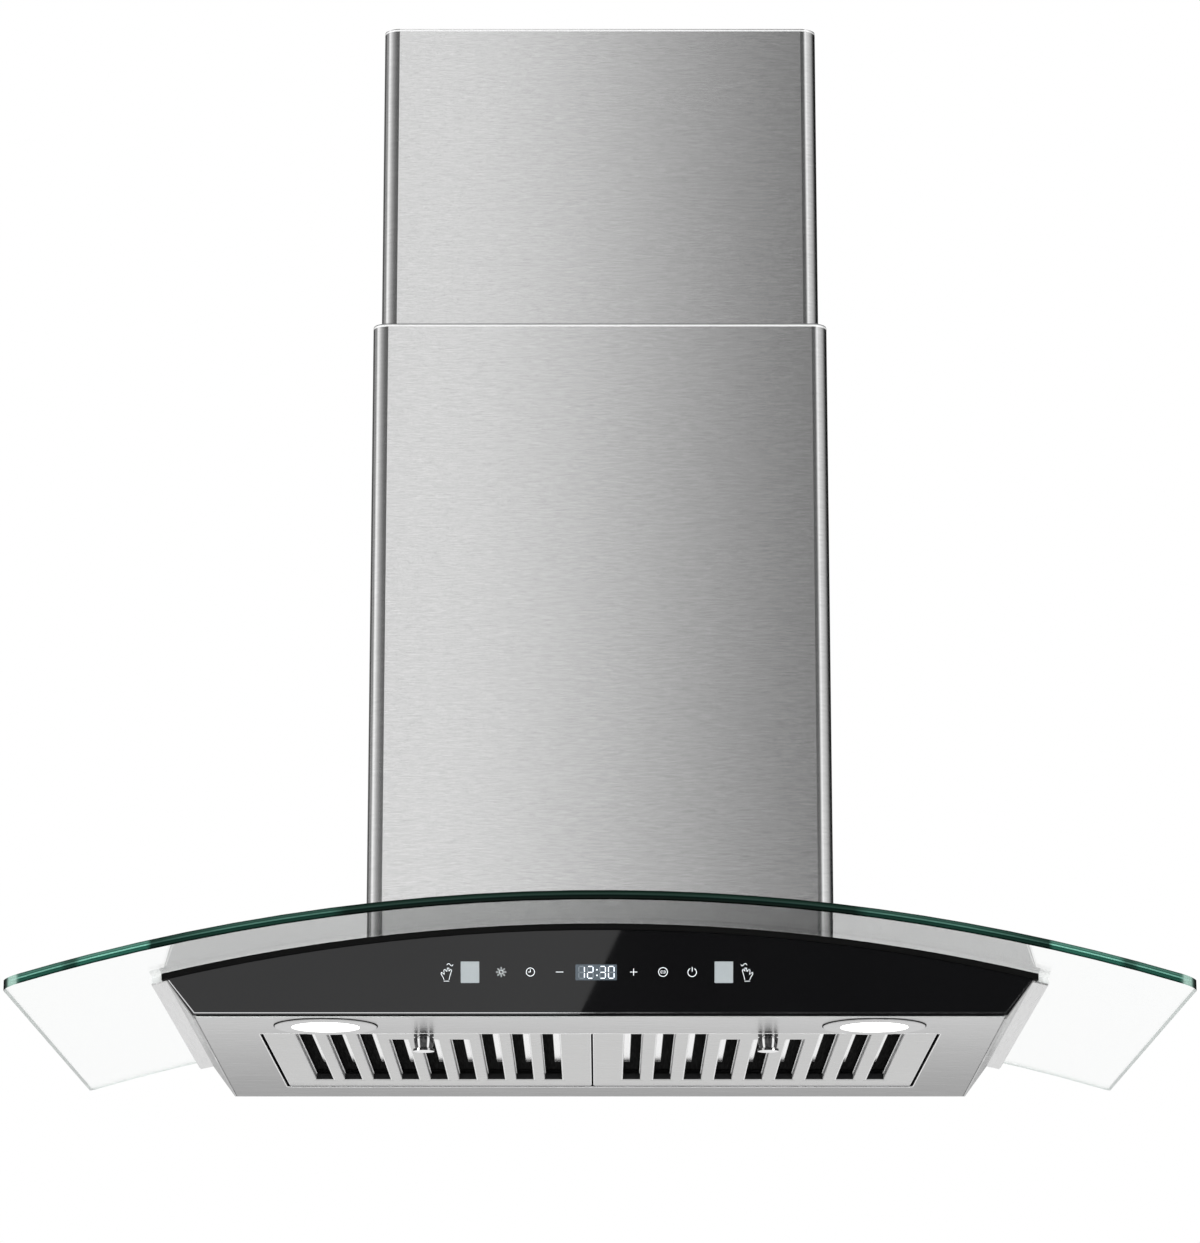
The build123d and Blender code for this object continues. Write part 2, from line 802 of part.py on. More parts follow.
for side_name, side in sides:
    low_x, high_x = filter_edges[side_name]
    filter_width = high_x - low_x
    filter_mid_x = (low_x + high_x) / 2
    slots = slot_places(low_x, high_x)

    with BuildPart() as filter_frame:
        with BuildSketch(Plane.XY.offset(filter_bottom)):
            with Locations((filter_mid_x, filter_mid_y)):
                RectangleRounded(filter_width, filter_depth, filter_sheet)
        extrude(amount=filter_height)
        with BuildSketch(Plane.XY.offset(filter_inside)):
            with Locations((filter_mid_x, filter_mid_y)):
                Rectangle(filter_width - 2 * filter_sheet, filter_depth - 2 * filter_sheet)
        extrude(amount=filter_height, mode=Mode.SUBTRACT)
        # Lip along the front for the magnets
        with BuildSketch(Plane.XY.offset(filter_top - filter_sheet)):
            with Locations((filter_mid_x, -filter_front)):
                Rectangle(filter_width, filter_lip, align=(Align.CENTER, Align.MIN))
        extrude(amount=filter_sheet)
        # Cross wall behind the slots that carries the upper baffles
        with BuildSketch(Plane.XY.offset(filter_bottom)):
            with Locations((filter_mid_x, cross_wall_y)):
                Rectangle(filter_width, filter_sheet, align=(Align.CENTER, Align.MIN))
        extrude(amount=filter_height)
        # Rims turned up along the slots
        for index, centre in enumerate(slots):
            extrude(
                slot_outline(centre, slot_start(index), filter_sheet),
                amount=filter_sheet + slot_rim_height,
            )
        for index, centre in enumerate(slots):
            extrude(
                slot_outline(centre, slot_start(index), 0),
                amount=filter_sheet + slot_rim_height,
                mode=Mode.SUBTRACT,
            )
        slot_edges = (
            filter_frame.edges()
            .filter_by_position(Axis.Z, filter_bottom - skin_clear, filter_bottom + skin_clear)
            .filter_by_position(Axis.X, low_x + filter_sheet, high_x - filter_sheet)
            .filter_by_position(Axis.Y, -slot_front - filter_sheet, -slot_back + filter_sheet)
        )
        fillet(slot_edges, slot_lip_radius)
        # Rear flange cut away around the hinge ears, lugs beside them
        for place in pivot_places(side_name):
            with BuildSketch(Plane.XY.offset(filter_inside)):
                with Locations((place, -filter_back)):
                    Rectangle(
                        2 * (lug_reach + flange_notch_clear),
                        2 * filter_sheet + flange_notch_clear,
                    )
            extrude(amount=filter_height, mode=Mode.SUBTRACT)
            for lug_side in (-1, 1):
                lug_start = place + lug_side * ear_slot
                with BuildSketch(Plane.YZ.offset(lug_start)):
                    with Locations((pivot_y, pivot_z)):
                        Circle(lug_radius)
                        Rectangle(
                            2 * lug_radius,
                            pivot_z - filter_inside,
                            align=(Align.CENTER, Align.MAX),
                        )
                        Circle(pivot_radius + seat_clear, mode=Mode.SUBTRACT)
                extrude(amount=lug_side * lug_thickness)
        # Hole for the knob's stud
        with BuildSketch(Plane.XY.offset(filter_bottom)):
            with Locations((knob_place(side_name), -knob_from_wall)):
                Circle(knob_stud_radius + skin_clear)
        extrude(amount=filter_sheet, mode=Mode.SUBTRACT)
    save(f"{side_name}_filter_frame", filter_frame)

    with BuildPart() as upper_baffles:
        for centre in slots:
            with BuildSketch(Plane.XZ.offset(-cross_wall_y)):
                with Locations((centre, filter_top - filter_sheet)):
                    Rectangle(baffle_width, baffle_leg, align=(Align.CENTER, Align.MAX))
                with Locations((centre, filter_top - 2 * filter_sheet)):
                    Rectangle(
                        baffle_width - 2 * filter_sheet,
                        baffle_leg,
                        align=(Align.CENTER, Align.MAX),
                        mode=Mode.SUBTRACT,
                    )
            extrude(amount=filter_front - filter_sheet + cross_wall_y)
    save(f"{side_name}_upper_baffles", upper_baffles)

    with BuildPart() as filter_knob:
        with BuildSketch(Plane.XZ.offset(knob_from_wall)):
            with BuildLine():
                Polyline(
                    (knob_base_radius, barrel_top),
                    (knob_groove_radius, barrel_top),
                    (knob_groove_radius, barrel_top + knob_groove_height),
                    (knob_base_radius, barrel_top + knob_groove_height),
                    (knob_base_radius, filter_bottom),
                    (knob_stud_radius, filter_bottom),
                    (knob_stud_radius, filter_inside + knob_stud_length),
                    (0, filter_inside + knob_stud_length),
                    (0, knob_end),
                    (knob_head_radius, knob_end),
                    (knob_head_radius, knob_end + knob_head_height),
                    (knob_waist_radius, knob_end + knob_head_height),
                )
                ThreePointArc(
                    (knob_waist_radius, knob_end + knob_head_height),
                    (knob_belly_radius, (barrel_top + knob_end + knob_head_height) / 2),
                    (knob_base_radius, barrel_top),
                )
            make_face()
        revolve(axis=Axis((0, -knob_from_wall, 0), (0, 0, 1)))
    filter_knob.part.position = (knob_place(side_name), 0, 0)
    save(f"{side_name}_filter_knob", filter_knob)

    with BuildPart() as knob_nut:
        with BuildSketch(Plane.XY.offset(filter_inside)):
            with Locations((knob_place(side_name), -knob_from_wall)):
                RegularPolygon(knob_nut_radius, hexagon_sides)
                Circle(knob_stud_radius + seat_clear, mode=Mode.SUBTRACT)
        extrude(amount=knob_nut_height)
    save(f"{side_name}_knob_nut", knob_nut)

    with BuildPart() as pivot_pins:
        for place in pivot_places(side_name):
            with BuildSketch(Plane.YZ.offset(place)):
                with Locations((pivot_y, pivot_z)):
                    Circle(pivot_radius)
            extrude(amount=lug_reach, both=True)
    save(f"{side_name}_filter_pins", pivot_pins)

# Filter hinge rail: angle across the back of the opening with four hanging ears
rail_top = pivot_z + ear_rise + ear_arm
with BuildPart() as filter_hinge_rail:
    with BuildSketch(Plane.YZ):
        with BuildLine():
            Polyline(
                (rail_y, plate_inside),
                (rail_y + rail_foot, plate_inside),
                (rail_y + rail_foot, plate_inside + rail_sheet),
                (rail_y + rail_sheet, plate_inside + rail_sheet),
                (rail_y + rail_sheet, rail_top),
                (rail_y, rail_top),
                close=True,
            )
        make_face()
    extrude(amount=rail_half_length, both=True)
    for side_name, side in sides:
        for place in pivot_places(side_name):
            with BuildSketch(Plane.YZ.offset(place)):
                with Locations((pivot_y, pivot_z)):
                    Circle(ear_radius)
                    Rectangle(
                        2 * ear_radius,
                        ear_rise + ear_arm,
                        align=(Align.CENTER, Align.MIN),
                    )
                with Locations((rail_y, rail_top)):
                    Rectangle(
                        rail_y - pivot_y + ear_radius,
                        ear_arm,
                        align=(Align.MAX, Align.MAX),
                    )
                with Locations((pivot_y, pivot_z)):
                    Circle(pivot_radius + pin_clear, mode=Mode.SUBTRACT)
            extrude(amount=ear_thickness / 2, both=True)
save("filter_hinge_rail", filter_hinge_rail)

# Magnets on brackets above the front lips of the filters
magnet_y = -(filter_front - magnet_setback)
bracket_back = -(opening_front + sheet + running_clear)
magnet_bottom = filter_top + magnet_gap
bracket_roof = magnet_bottom + magnet_height
magnet_places = [
    (sum(filter_edges[side_name]) / 2 + spread, magnet_y)
    for side_name, side in sides
    for spread in (-magnet_spread, magnet_spread)
]
with BuildPart() as filter_magnets:
    with BuildSketch(Plane.XY.offset(magnet_bottom)):
        with Locations(*magnet_places):
            Circle(magnet_radius)
    extrude(amount=magnet_height)
save("filter_magnets", filter_magnets)

with BuildPart() as magnet_brackets:
    for magnet_place in magnet_places:
        with BuildSketch(Plane.YZ.offset(magnet_place[0])):
            with BuildLine():
                Polyline(
                    (bracket_back - bracket_foot, plate_inside),
                    (bracket_back, plate_inside),
                    (bracket_back, bracket_roof),
                    (magnet_y + magnet_radius, bracket_roof),
                    (magnet_y + magnet_radius, bracket_roof + sheet),
                    (bracket_back - sheet, bracket_roof + sheet),
                    (bracket_back - sheet, plate_inside + sheet),
                    (bracket_back - bracket_foot, plate_inside + sheet),
                    close=True,
                )
            make_face()
        extrude(amount=bracket_width / 2, both=True)
save("magnet_brackets", magnet_brackets)

# Lamps: bezel, lens, LED board and finned housing in each lamp hole
bezel_bore = bezel_tube_radius - bezel_tube_wall
lamp_board_bottom = tray_bottom + lamp_board_height
housing_bottom = lamp_board_bottom + lamp_board_thickness
for side_name, side in sides:
    lamp_x = side * lamp_offset
    lamp_spot = (lamp_x, -lamp_from_wall)

    with BuildPart() as lamp_bezel:
        with BuildSketch(Plane.XY.offset(tray_bottom - bezel_flange)):
            with Locations(lamp_spot):
                Circle(bezel_radius)
        extrude(amount=bezel_flange)
        chamfer(lamp_bezel.faces().sort_by(Axis.Z)[0].edges(), bezel_chamfer)
        with BuildSketch(Plane.XY.offset(tray_bottom)):
            with Locations(lamp_spot):
                Circle(bezel_tube_radius)
        extrude(amount=bezel_tube_height)
        with BuildSketch(Plane.XY.offset(tray_bottom)):
            with Locations(lamp_spot):
                Circle(bezel_bore)
        extrude(amount=bezel_tube_height, mode=Mode.SUBTRACT)
        with BuildSketch(Plane.XY.offset(tray_bottom - bezel_flange)):
            with Locations(lamp_spot):
                Circle(lens_radius + lens_edge_clear)
        extrude(amount=bezel_flange, mode=Mode.SUBTRACT)
    save(f"{side_name}_lamp_bezel", lamp_bezel)

    with BuildPart() as lamp_lens:
        with BuildSketch(Plane.XY.offset(tray_bottom - bezel_flange + lens_recess)):
            with Locations(lamp_spot):
                Circle(lens_radius)
        extrude(amount=bezel_flange - lens_recess)
        with BuildSketch(Plane.XY.offset(tray_bottom)):
            with Locations(lamp_spot):
                Circle(bezel_bore - lens_edge_clear)
        extrude(amount=lens_seat_height)
    save(f"{side_name}_lamp_lens", lamp_lens)

    with BuildPart() as lamp_housing:
        with BuildSketch(Plane.XY.offset(housing_bottom)):
            with Locations(lamp_spot):
                Circle(bezel_bore - lens_edge_clear)
        extrude(amount=lamp_housing_height)
        with BuildSketch(Plane.XY.offset(housing_bottom + lamp_housing_height)):
            for index in range(lamp_fin_count):
                fin_x = lamp_x + (index - (lamp_fin_count - 1) / 2) * lamp_fin_pitch
                with Locations((fin_x, -lamp_from_wall)):
                    Rectangle(lamp_fin_thickness, bezel_bore)
        extrude(amount=lamp_fin_height)
    save(f"{side_name}_lamp_housing", lamp_housing)

with BuildPart() as lamp_boards:
    with BuildSketch(Plane.XY.offset(lamp_board_bottom)):
        with Locations((-lamp_offset, -lamp_from_wall), (lamp_offset, -lamp_from_wall)):
            Circle(lamp_board_radius)
    extrude(amount=lamp_board_thickness)
save("lamp_boards", lamp_boards)

# Spring clips that hold each lamp tube to the plate
clip_start = bezel_tube_radius + skin_clear
with BuildPart() as lamp_clips:
    for side in (-1, 1):
        for clip_side in (-1, 1):
            with BuildSketch(Plane.XZ.offset(lamp_from_wall)):
                with BuildLine():
                    reach = side * lamp_offset
                    Polyline(
                        (reach + clip_side * clip_start, plate_inside + clip_height),
                        (reach + clip_side * clip_start, plate_inside),
                        (reach + clip_side * (clip_start + clip_foot), plate_inside),
                        (
                            reach + clip_side * (clip_start + clip_foot),
                            plate_inside + clip_sheet,
                        ),
                        (
                            reach + clip_side * (clip_start + clip_sheet),
                            plate_inside + clip_sheet,
                        ),
                        (
                            reach + clip_side * (clip_start + clip_sheet),
                            plate_inside + clip_height,
                        ),
                        close=True,
                    )
                make_face()
            extrude(amount=clip_width / 2, both=True)
    with BuildSketch(Plane.XY.offset(tray_bottom)):
        with Locations((-lamp_offset, -lamp_from_wall), (lamp_offset, -lamp_from_wall)):
            Circle(clip_start)
    extrude(amount=tray_height, mode=Mode.SUBTRACT)
save("lamp_clips", lamp_clips)

# Blower case: steel box through the notch, standing on the arched top plate
case_cylinder = extrude(
    Plane.XZ.offset(-overrun) * Pos(0, arch_axis) * Circle(plate_top_radius + skin_clear),
    amount=glass_front + 2 * overrun,
)
with BuildPart() as blower_case:
    with BuildSketch(Plane.XY.offset(low_level)):
        with Locations((0, case_centre)):
            Rectangle(2 * case_half, case_length)
    extrude(amount=case_top - low_level)
    with BuildSketch(Plane.XY.offset(low_level)):
        with Locations((0, case_centre)):
            Rectangle(2 * (case_half - sheet), case_length - 2 * sheet)
    extrude(amount=case_top - sheet - low_level, mode=Mode.SUBTRACT)
    with BuildSketch(Plane.XY.offset(case_top - sheet)):
        with Locations((0, collar_y)):
            Circle(collar_radius - collar_wall)
    extrude(amount=sheet, mode=Mode.SUBTRACT)
    with BuildSketch(Plane.XY.offset(case_top - sheet)):
        with Locations((panel_lead_place, box_y)):
            Circle(panel_lead_radius + lead_hole_clear)
    extrude(amount=sheet, mode=Mode.SUBTRACT)
    add(case_cylinder, mode=Mode.SUBTRACT)

# Foot flange of the case, curved to lie on the top plate
with BuildPart() as case_flange:
    extrude(
        arch_strip(
            plate_top_radius + skin_clear,
            plate_top_radius + skin_clear + sheet,
            case_half + overrun,
        ),
        amount=glass_front,
    )
    with BuildSketch(Plane.XY.offset(low_level)):
        with Locations((0, case_centre)):
            Rectangle(2 * (case_half + case_foot), case_length + 2 * case_foot)
    extrude(amount=full_rise, mode=Mode.INTERSECT)
    with BuildSketch(Plane.XY.offset(low_level)):
        with Locations((0, case_centre)):
            Rectangle(2 * (case_half - sheet), case_length - 2 * sheet)
    extrude(amount=full_rise, mode=Mode.SUBTRACT)
with blower_case:
    add(case_flange.part)
save("blower_case", blower_case)

# Scroll housing: widening arcs round the impeller, opening upwards into the collar
scroll_top = case_top - sheet


def scroll_outline(shrink, top):
    """Spiral outline in the plane across the shaft, open at its top end."""
    first = scroll_start_radius - shrink
    second = first + scroll_step
    third = second + scroll_step
    tongue_y = axle_y + scroll_tongue - shrink
    tongue_z = axle_z + sqrt(first**2 - (scroll_tongue - shrink) ** 2)
    low = (axle_y, axle_z - second)
    front = (axle_y - third, axle_z)
    with BuildSketch(Plane.YZ) as outline:
        with BuildLine():
            Line((tongue_y, top), (tongue_y, tongue_z))
            ThreePointArc(
                (tongue_y, tongue_z),
                (axle_y + first * cos(eighth_turn), axle_z + first * sin(eighth_turn)),
                (axle_y + first, axle_z),
            )
            ThreePointArc(
                (axle_y + first, axle_z),
                (
                    axle_y + (first + second) / 2 * cos(eighth_turn),
                    axle_z - (first + second) / 2 * sin(eighth_turn),
                ),
                low,
            )
            ThreePointArc(
                low,
                (
                    axle_y - (second + third) / 2 * cos(eighth_turn),
                    axle_z - (second + third) / 2 * sin(eighth_turn),
                ),
                front,
            )
            Line(front, (axle_y - third, top))
            Line((axle_y - third, top), (tongue_y, top))
        make_face()
    return outline.sketch


with BuildPart() as scroll_housing:
    extrude(scroll_outline(0, scroll_top), amount=scroll_half, both=True)
    extrude(
        scroll_outline(sheet, scroll_top + overrun),
        amount=scroll_half - sheet,
        both=True,
        mode=Mode.SUBTRACT,
    )
    with BuildSketch(Plane.YZ):
        with Locations((axle_y, axle_z)):
            Circle(inlet_radius)
    extrude(amount=scroll_half, both=True, mode=Mode.SUBTRACT)
save("scroll_housing", scroll_housing)

# Impeller: forward curved blades between two rings and a middle disc
with BuildPart() as impeller:
    with BuildSketch(Plane.YZ):
        with Locations((axle_y, axle_z)):
            with PolarLocations((impeller_radius + impeller_inner_radius) / 2, blade_count):
                Rectangle(blade_length, blade_thickness, rotation=blade_angle)
    extrude(amount=impeller_half, both=True)
    for start in (-impeller_half, impeller_half - impeller_ring):
        with BuildSketch(Plane.YZ.offset(start)):
            with Locations((axle_y, axle_z)):
                Circle(impeller_radius)
                Circle(impeller_inner_radius, mode=Mode.SUBTRACT)
        extrude(amount=impeller_ring)
    with BuildSketch(Plane.YZ):
        with Locations((axle_y, axle_z)):
            Circle(impeller_radius)
    extrude(amount=impeller_disc / 2, both=True)
    with BuildSketch(Plane.YZ):
        with Locations((axle_y, axle_z)):
            Circle(hub_radius)
    extrude(amount=hub_half, both=True)
    with BuildSketch(Plane.YZ):
        with Locations((axle_y, axle_z)):
            Circle(shaft_radius + seat_clear)
    extrude(amount=impeller_half, both=True, mode=Mode.SUBTRACT)
save("impeller", impeller)

motor_back = -(motor_start + motor_length)
with BuildPart() as motor_shaft:
    with BuildSketch(Plane.YZ.offset(-motor_start - motor_length / 2)):
        with Locations((axle_y, axle_z)):
            Circle(shaft_radius)
    extrude(amount=motor_start + motor_length / 2 + shaft_end)
save("motor_shaft", motor_shaft)

with BuildPart() as motor:
    with BuildSketch(Plane.YZ.offset(motor_back)):
        with Locations((axle_y, axle_z)):
            Circle(motor_radius)
    extrude(amount=motor_length)
    chamfer(motor.faces().sort_by(Axis.X)[0].edges(), motor_chamfer)
    with BuildSketch(Plane.YZ.offset(motor_back)):
        with Locations((axle_y, axle_z)):
            with PolarLocations(motor_radius, motor_vent_count):
                Rectangle(2 * motor_vent_depth, motor_vent_width)
    extrude(amount=motor_length / 2 - bracket_ring_width / 2, mode=Mode.SUBTRACT)
    with BuildSketch(Plane.YZ.offset(-motor_start)):
        with Locations((axle_y, axle_z)):
            Circle(motor_boss_radius)
    extrude(amount=motor_boss_length)
    with BuildSketch(Plane.YZ.offset(-motor_start - motor_length / 2)):
        with Locations((axle_y, axle_z)):
            Circle(shaft_radius + pin_clear)
    extrude(amount=motor_length, mode=Mode.SUBTRACT)
save("motor", motor)

# Motor bracket: ring round the motor with three arms bolted to the scroll's side
ring_start = -(motor_start + motor_length / 2 + bracket_ring_width / 2)
arm_reach = inlet_radius + bracket_pad_length
with BuildPart() as motor_bracket:
    with BuildSketch(Plane.YZ.offset(ring_start)):
        with Locations((axle_y, axle_z)):
            Circle(motor_radius + seat_clear + bracket_ring_wall)
            Circle(motor_radius + seat_clear, mode=Mode.SUBTRACT)
    extrude(amount=bracket_ring_width)
    for index in range(bracket_arm_count):
        arm_turn = index * 2 * pi / bracket_arm_count
        arm_plane = Plane(
            origin=(ring_start, axle_y, axle_z),
            x_dir=(1, 0, 0),
            z_dir=(0, -sin(arm_turn), cos(arm_turn)),
        )
        ring_edge = motor_radius + bracket_ring_wall
        foot_x = -scroll_half - ring_start
        with BuildSketch(arm_plane):
            with BuildLine():
                Polyline(
                    (0, ring_edge),
                    (bracket_ring_width, ring_edge),
                    (bracket_ring_width, ring_edge + bracket_ring_wall),
                    (foot_x, inlet_radius),
                    (foot_x, arm_reach),
                    (foot_x - bracket_ring_wall, arm_reach),
                    (foot_x - bracket_ring_wall, inlet_radius + bracket_ring_wall),
                    (0, ring_edge + bracket_ring_wall),
                    close=True,
                )
            make_face()
        extrude(amount=bracket_arm_width / 2, both=True)
    with BuildSketch(Plane.YZ.offset(ring_start)):
        with Locations((axle_y, axle_z)):
            Circle(motor_radius + seat_clear)
    extrude(amount=bracket_ring_width, mode=Mode.SUBTRACT)
save("motor_bracket", motor_bracket)

# Outlet collar with a ledge for the damper flaps
collar_bore = collar_radius - collar_wall
pin_places = (collar_y - damper_offset, collar_y + damper_offset)
flap_bottom = pin_z - damper_thickness / 2
with BuildPart() as outlet_collar:
    with BuildSketch(Plane.XY.offset(collar_base)):
        with Locations((0, collar_y)):
            Circle(collar_flange_radius)
    extrude(amount=collar_flange_height)
    with BuildSketch(Plane.XY.offset(collar_base)):
        with Locations((0, collar_y)):
            Circle(collar_radius)
    extrude(amount=collar_height)
    with BuildSketch(Plane.XY.offset(collar_base)):
        with Locations((0, collar_y)):
            Circle(collar_bore)
    extrude(amount=collar_height, mode=Mode.SUBTRACT)
    with BuildSketch(Plane.XY.offset(flap_bottom - damper_ledge_height)):
        with Locations((0, collar_y)):
            Circle(collar_bore)
            Circle(collar_bore - damper_ledge, mode=Mode.SUBTRACT)
    extrude(amount=damper_ledge_height)
    for place in pin_places:
        with BuildSketch(Plane.YZ):
            with Locations((place, pin_z)):
                Circle(damper_pin_radius + seat_clear)
        extrude(amount=collar_radius, both=True, mode=Mode.SUBTRACT)
save("outlet_collar", outlet_collar)

with BuildPart() as damper_pins:
    for place in pin_places:
        with BuildSketch(Plane.YZ):
            with Locations((place, pin_z)):
                Circle(damper_pin_radius)
        extrude(amount=sqrt(collar_radius**2 - damper_offset**2) - skin_clear, both=True)
save("damper_pins", damper_pins)

# Damper flaps: half discs on knuckles, lying on the ledge when closed
flap_radius = collar_bore - damper_edge_clear
ledge_bore = collar_bore - damper_ledge
knuckle_half = sqrt(ledge_bore**2 - (damper_offset + damper_knuckle_radius) ** 2) - running_clear
for flap_name, side, place in zip(("front", "rear"), (-1, 1), pin_places):
    with BuildPart() as damper_flap:
        with BuildSketch(Plane.XY.offset(flap_bottom)):
            with Locations((0, collar_y)):
                Circle(flap_radius)
            with Locations((0, place)):
                Rectangle(
                    2 * collar_radius,
                    collar_radius,
                    align=(Align.CENTER, Align.MIN if side > 0 else Align.MAX),
                    mode=Mode.INTERSECT,
                )
        extrude(amount=damper_thickness)
        with BuildSketch(Plane.YZ):
            with Locations((place, pin_z)):
                Circle(damper_knuckle_radius)
        extrude(amount=knuckle_half, both=True)
        with BuildSketch(Plane.YZ):
            with Locations((place, pin_z)):
                Circle(damper_pin_radius + pin_clear)
        extrude(amount=collar_radius, both=True, mode=Mode.SUBTRACT)
    save(f"{flap_name}_damper_flap", damper_flap)

# Junction box, cover, gland and run capacitor on top of the case
with BuildPart() as junction_box:
    with BuildSketch(Plane.XY.offset(case_top)):
        with Locations((box_centre, box_y)):
            Rectangle(box_length, box_depth)
    extrude(amount=box_height)
    with BuildSketch(Plane.XY.offset(case_top + box_wall)):
        with Locations((box_centre, box_y)):
            Rectangle(box_length - 2 * box_wall, box_depth - 2 * box_wall)
    extrude(amount=box_height, mode=Mode.SUBTRACT)
    with BuildSketch(Plane.YZ.offset(box_centre + box_length / 2)):
        with Locations((box_y, case_top + panel_lead_rise)):
            Circle(panel_lead_radius + skin_clear)
    extrude(amount=-box_wall, mode=Mode.SUBTRACT)
save("junction_box", junction_box)

with BuildPart() as junction_cover:
    with BuildSketch(Plane.XY.offset(case_top + box_height)):
        with Locations((box_centre, box_y)):
            Rectangle(box_length, box_depth)
    extrude(amount=box_cover_height)
    with BuildSketch(Plane.XY.offset(case_top + box_height)):
        with Locations((box_centre, box_y)):
            Rectangle(
                box_length - 2 * (box_wall + running_clear),
                box_depth - 2 * (box_wall + running_clear),
            )
    extrude(amount=-box_cover_height)
    with BuildSketch(Plane.XY.offset(case_top + box_height)):
        with Locations((gland_x, box_y)):
            Circle(gland_radius + skin_clear)
    extrude(amount=box_cover_height, both=True, mode=Mode.SUBTRACT)
save("junction_cover", junction_cover)

# Gland for the supply cable, upright in the cover: a body, a nut and the bore
gland_seat = case_top + box_height + box_cover_height
with BuildPart() as supply_gland:
    with BuildSketch(Plane.XY.offset(gland_seat + gland_length)):
        with Locations((gland_x, box_y)):
            Circle(gland_radius)
    extrude(amount=-(gland_length + gland_root))
    with BuildSketch(Plane.XY.offset(gland_seat)):
        with Locations((gland_x, box_y)):
            RegularPolygon(gland_nut_radius, hexagon_sides)
    extrude(amount=gland_nut_height)
    with BuildSketch(Plane.XY.offset(gland_seat)):
        with Locations((gland_x, box_y)):
            Circle(gland_bore_radius)
    extrude(amount=overrun, both=True, mode=Mode.SUBTRACT)
save("supply_gland", supply_gland)

with BuildPart() as run_capacitor:
    with BuildSketch(Plane.XY.offset(case_top)):
        with Locations((capacitor_centre, -capacitor_from_wall)):
            Circle(capacitor_radius)
    extrude(amount=capacitor_height)
    fillet(run_capacitor.faces().sort_by(Axis.Z)[-1].edges(), capacitor_cap_height / 2)
save("run_capacitor", run_capacitor)

# Internal leads: one from the junction box to the touch board, one to each lamp
lead_end = -(tray_depth + face_slope * (lead_level - tray_bottom)) + (
    (lead_depth - holder_wall) / cos(radians(face_lean))
)
lamp_lead_base = housing_bottom + lamp_housing_height
panel_lead_end = lead_end + panel_lead_radius * face_slope + skin_clear
lamp_lead_end = lead_end + lamp_lead_radius * face_slope + skin_clear
box_end = box_centre + box_length / 2 - box_wall
panel_lead_top = case_top + panel_lead_rise
lead_runs = [
    (
        panel_lead_radius,
        panel_lead_bend,
        (1, 0, 0),
        (
            (box_end, box_y, panel_lead_top),
            (panel_lead_place, box_y, panel_lead_top),
            (panel_lead_place, box_y, lead_level),
            (panel_lead_place, panel_lead_end, lead_level),
        ),
    )
]
for side_name, side in sides:
    lamp_start = side * (lamp_offset - lamp_lead_offset)
    lead_runs.append(
        (
            lamp_lead_radius,
            lamp_lead_bend,
            (0, 0, 1),
            (
                (lamp_start, -lamp_from_wall, lamp_lead_base),
                (lamp_start, -lamp_from_wall, lead_level),
                (side * lamp_lead_place, -lamp_from_wall, lead_level),
                (side * lamp_lead_place, lamp_lead_end, lead_level),
            ),
        )
    )
with BuildPart() as internal_leads:
    for radius, bend, heading, route in lead_runs:
        with BuildLine() as lead_path:
            FilletPolyline(*route, radius=bend)
        with BuildSketch(Plane(origin=route[0], z_dir=heading)):
            Circle(radius)
        sweep(path=lead_path.line)
save("internal_leads", internal_leads)


def chimney_section(width, front, back, level):
    """Open backed chimney sheet, rounded in front, flanged inwards along the wall."""
    with BuildSketch(Plane.XY.offset(level)) as section:
        for inset, mode in ((0, Mode.ADD), (sheet, Mode.SUBTRACT)):
            corner = chimney_corner - inset
            with Locations((0, -front + inset)):
                RectangleRounded(
                    width - 2 * inset,
                    chimney_front_block,
                    corner,
                    align=(Align.CENTER, Align.MIN),
                    mode=mode,
                )
            with Locations((0, -back - inset)):
                Rectangle(
                    width - 2 * inset,
                    front - back - inset - chimney_front_block / 2,
                    align=(Align.CENTER, Align.MAX),
                    mode=mode,
                )
        with Locations((0, -back)):
            Rectangle(width - 2 * chimney_flange, 2 * sheet, mode=Mode.SUBTRACT)
    return section.sketch


# Lower chimney: stands on the arched glass
chimney_cylinder = extrude(
    Plane.XZ.offset(-overrun) * Pos(0, arch_axis) * Circle(glass_top_radius + chimney_foot_clear),
    amount=glass_front + 2 * overrun,
)
with BuildPart() as lower_chimney:
    extrude(
        chimney_section(lower_width, lower_depth, 0, low_level),
        amount=lower_top - low_level,
    )
    add(chimney_cylinder, mode=Mode.SUBTRACT)
save("lower_chimney", lower_chimney)

# Upper chimney: slides inside the lower one
with BuildPart() as upper_chimney:
    extrude(
        chimney_section(
            upper_width, upper_depth, upper_wall_gap, upper_top - upper_length
        ),
        amount=upper_length,
    )
save("upper_chimney", upper_chimney)

# Glides on the inner faces of the lower chimney
side_glide = (lower_width - upper_width) / 2 - sheet - glide_clear
front_glide = lower_depth - upper_depth - sheet - glide_clear
glide_bottom = lower_top - glide_from_top - glide_length
with BuildPart() as chimney_glides:
    with BuildSketch(Plane.XY.offset(glide_bottom)):
        for side in (-1, 1):
            for depth_side in (-1, 1):
                with Locations(
                    (
                        side * (lower_width / 2 - sheet - side_glide / 2),
                        -lower_depth / 2 + depth_side * glide_spread,
                    )
                ):
                    Rectangle(side_glide, glide_width)
            with Locations(
                (side * glide_spread, -lower_depth + sheet + front_glide / 2)
            ):
                Rectangle(glide_width, front_glide)
    extrude(amount=glide_length)
save("chimney_glides", chimney_glides)

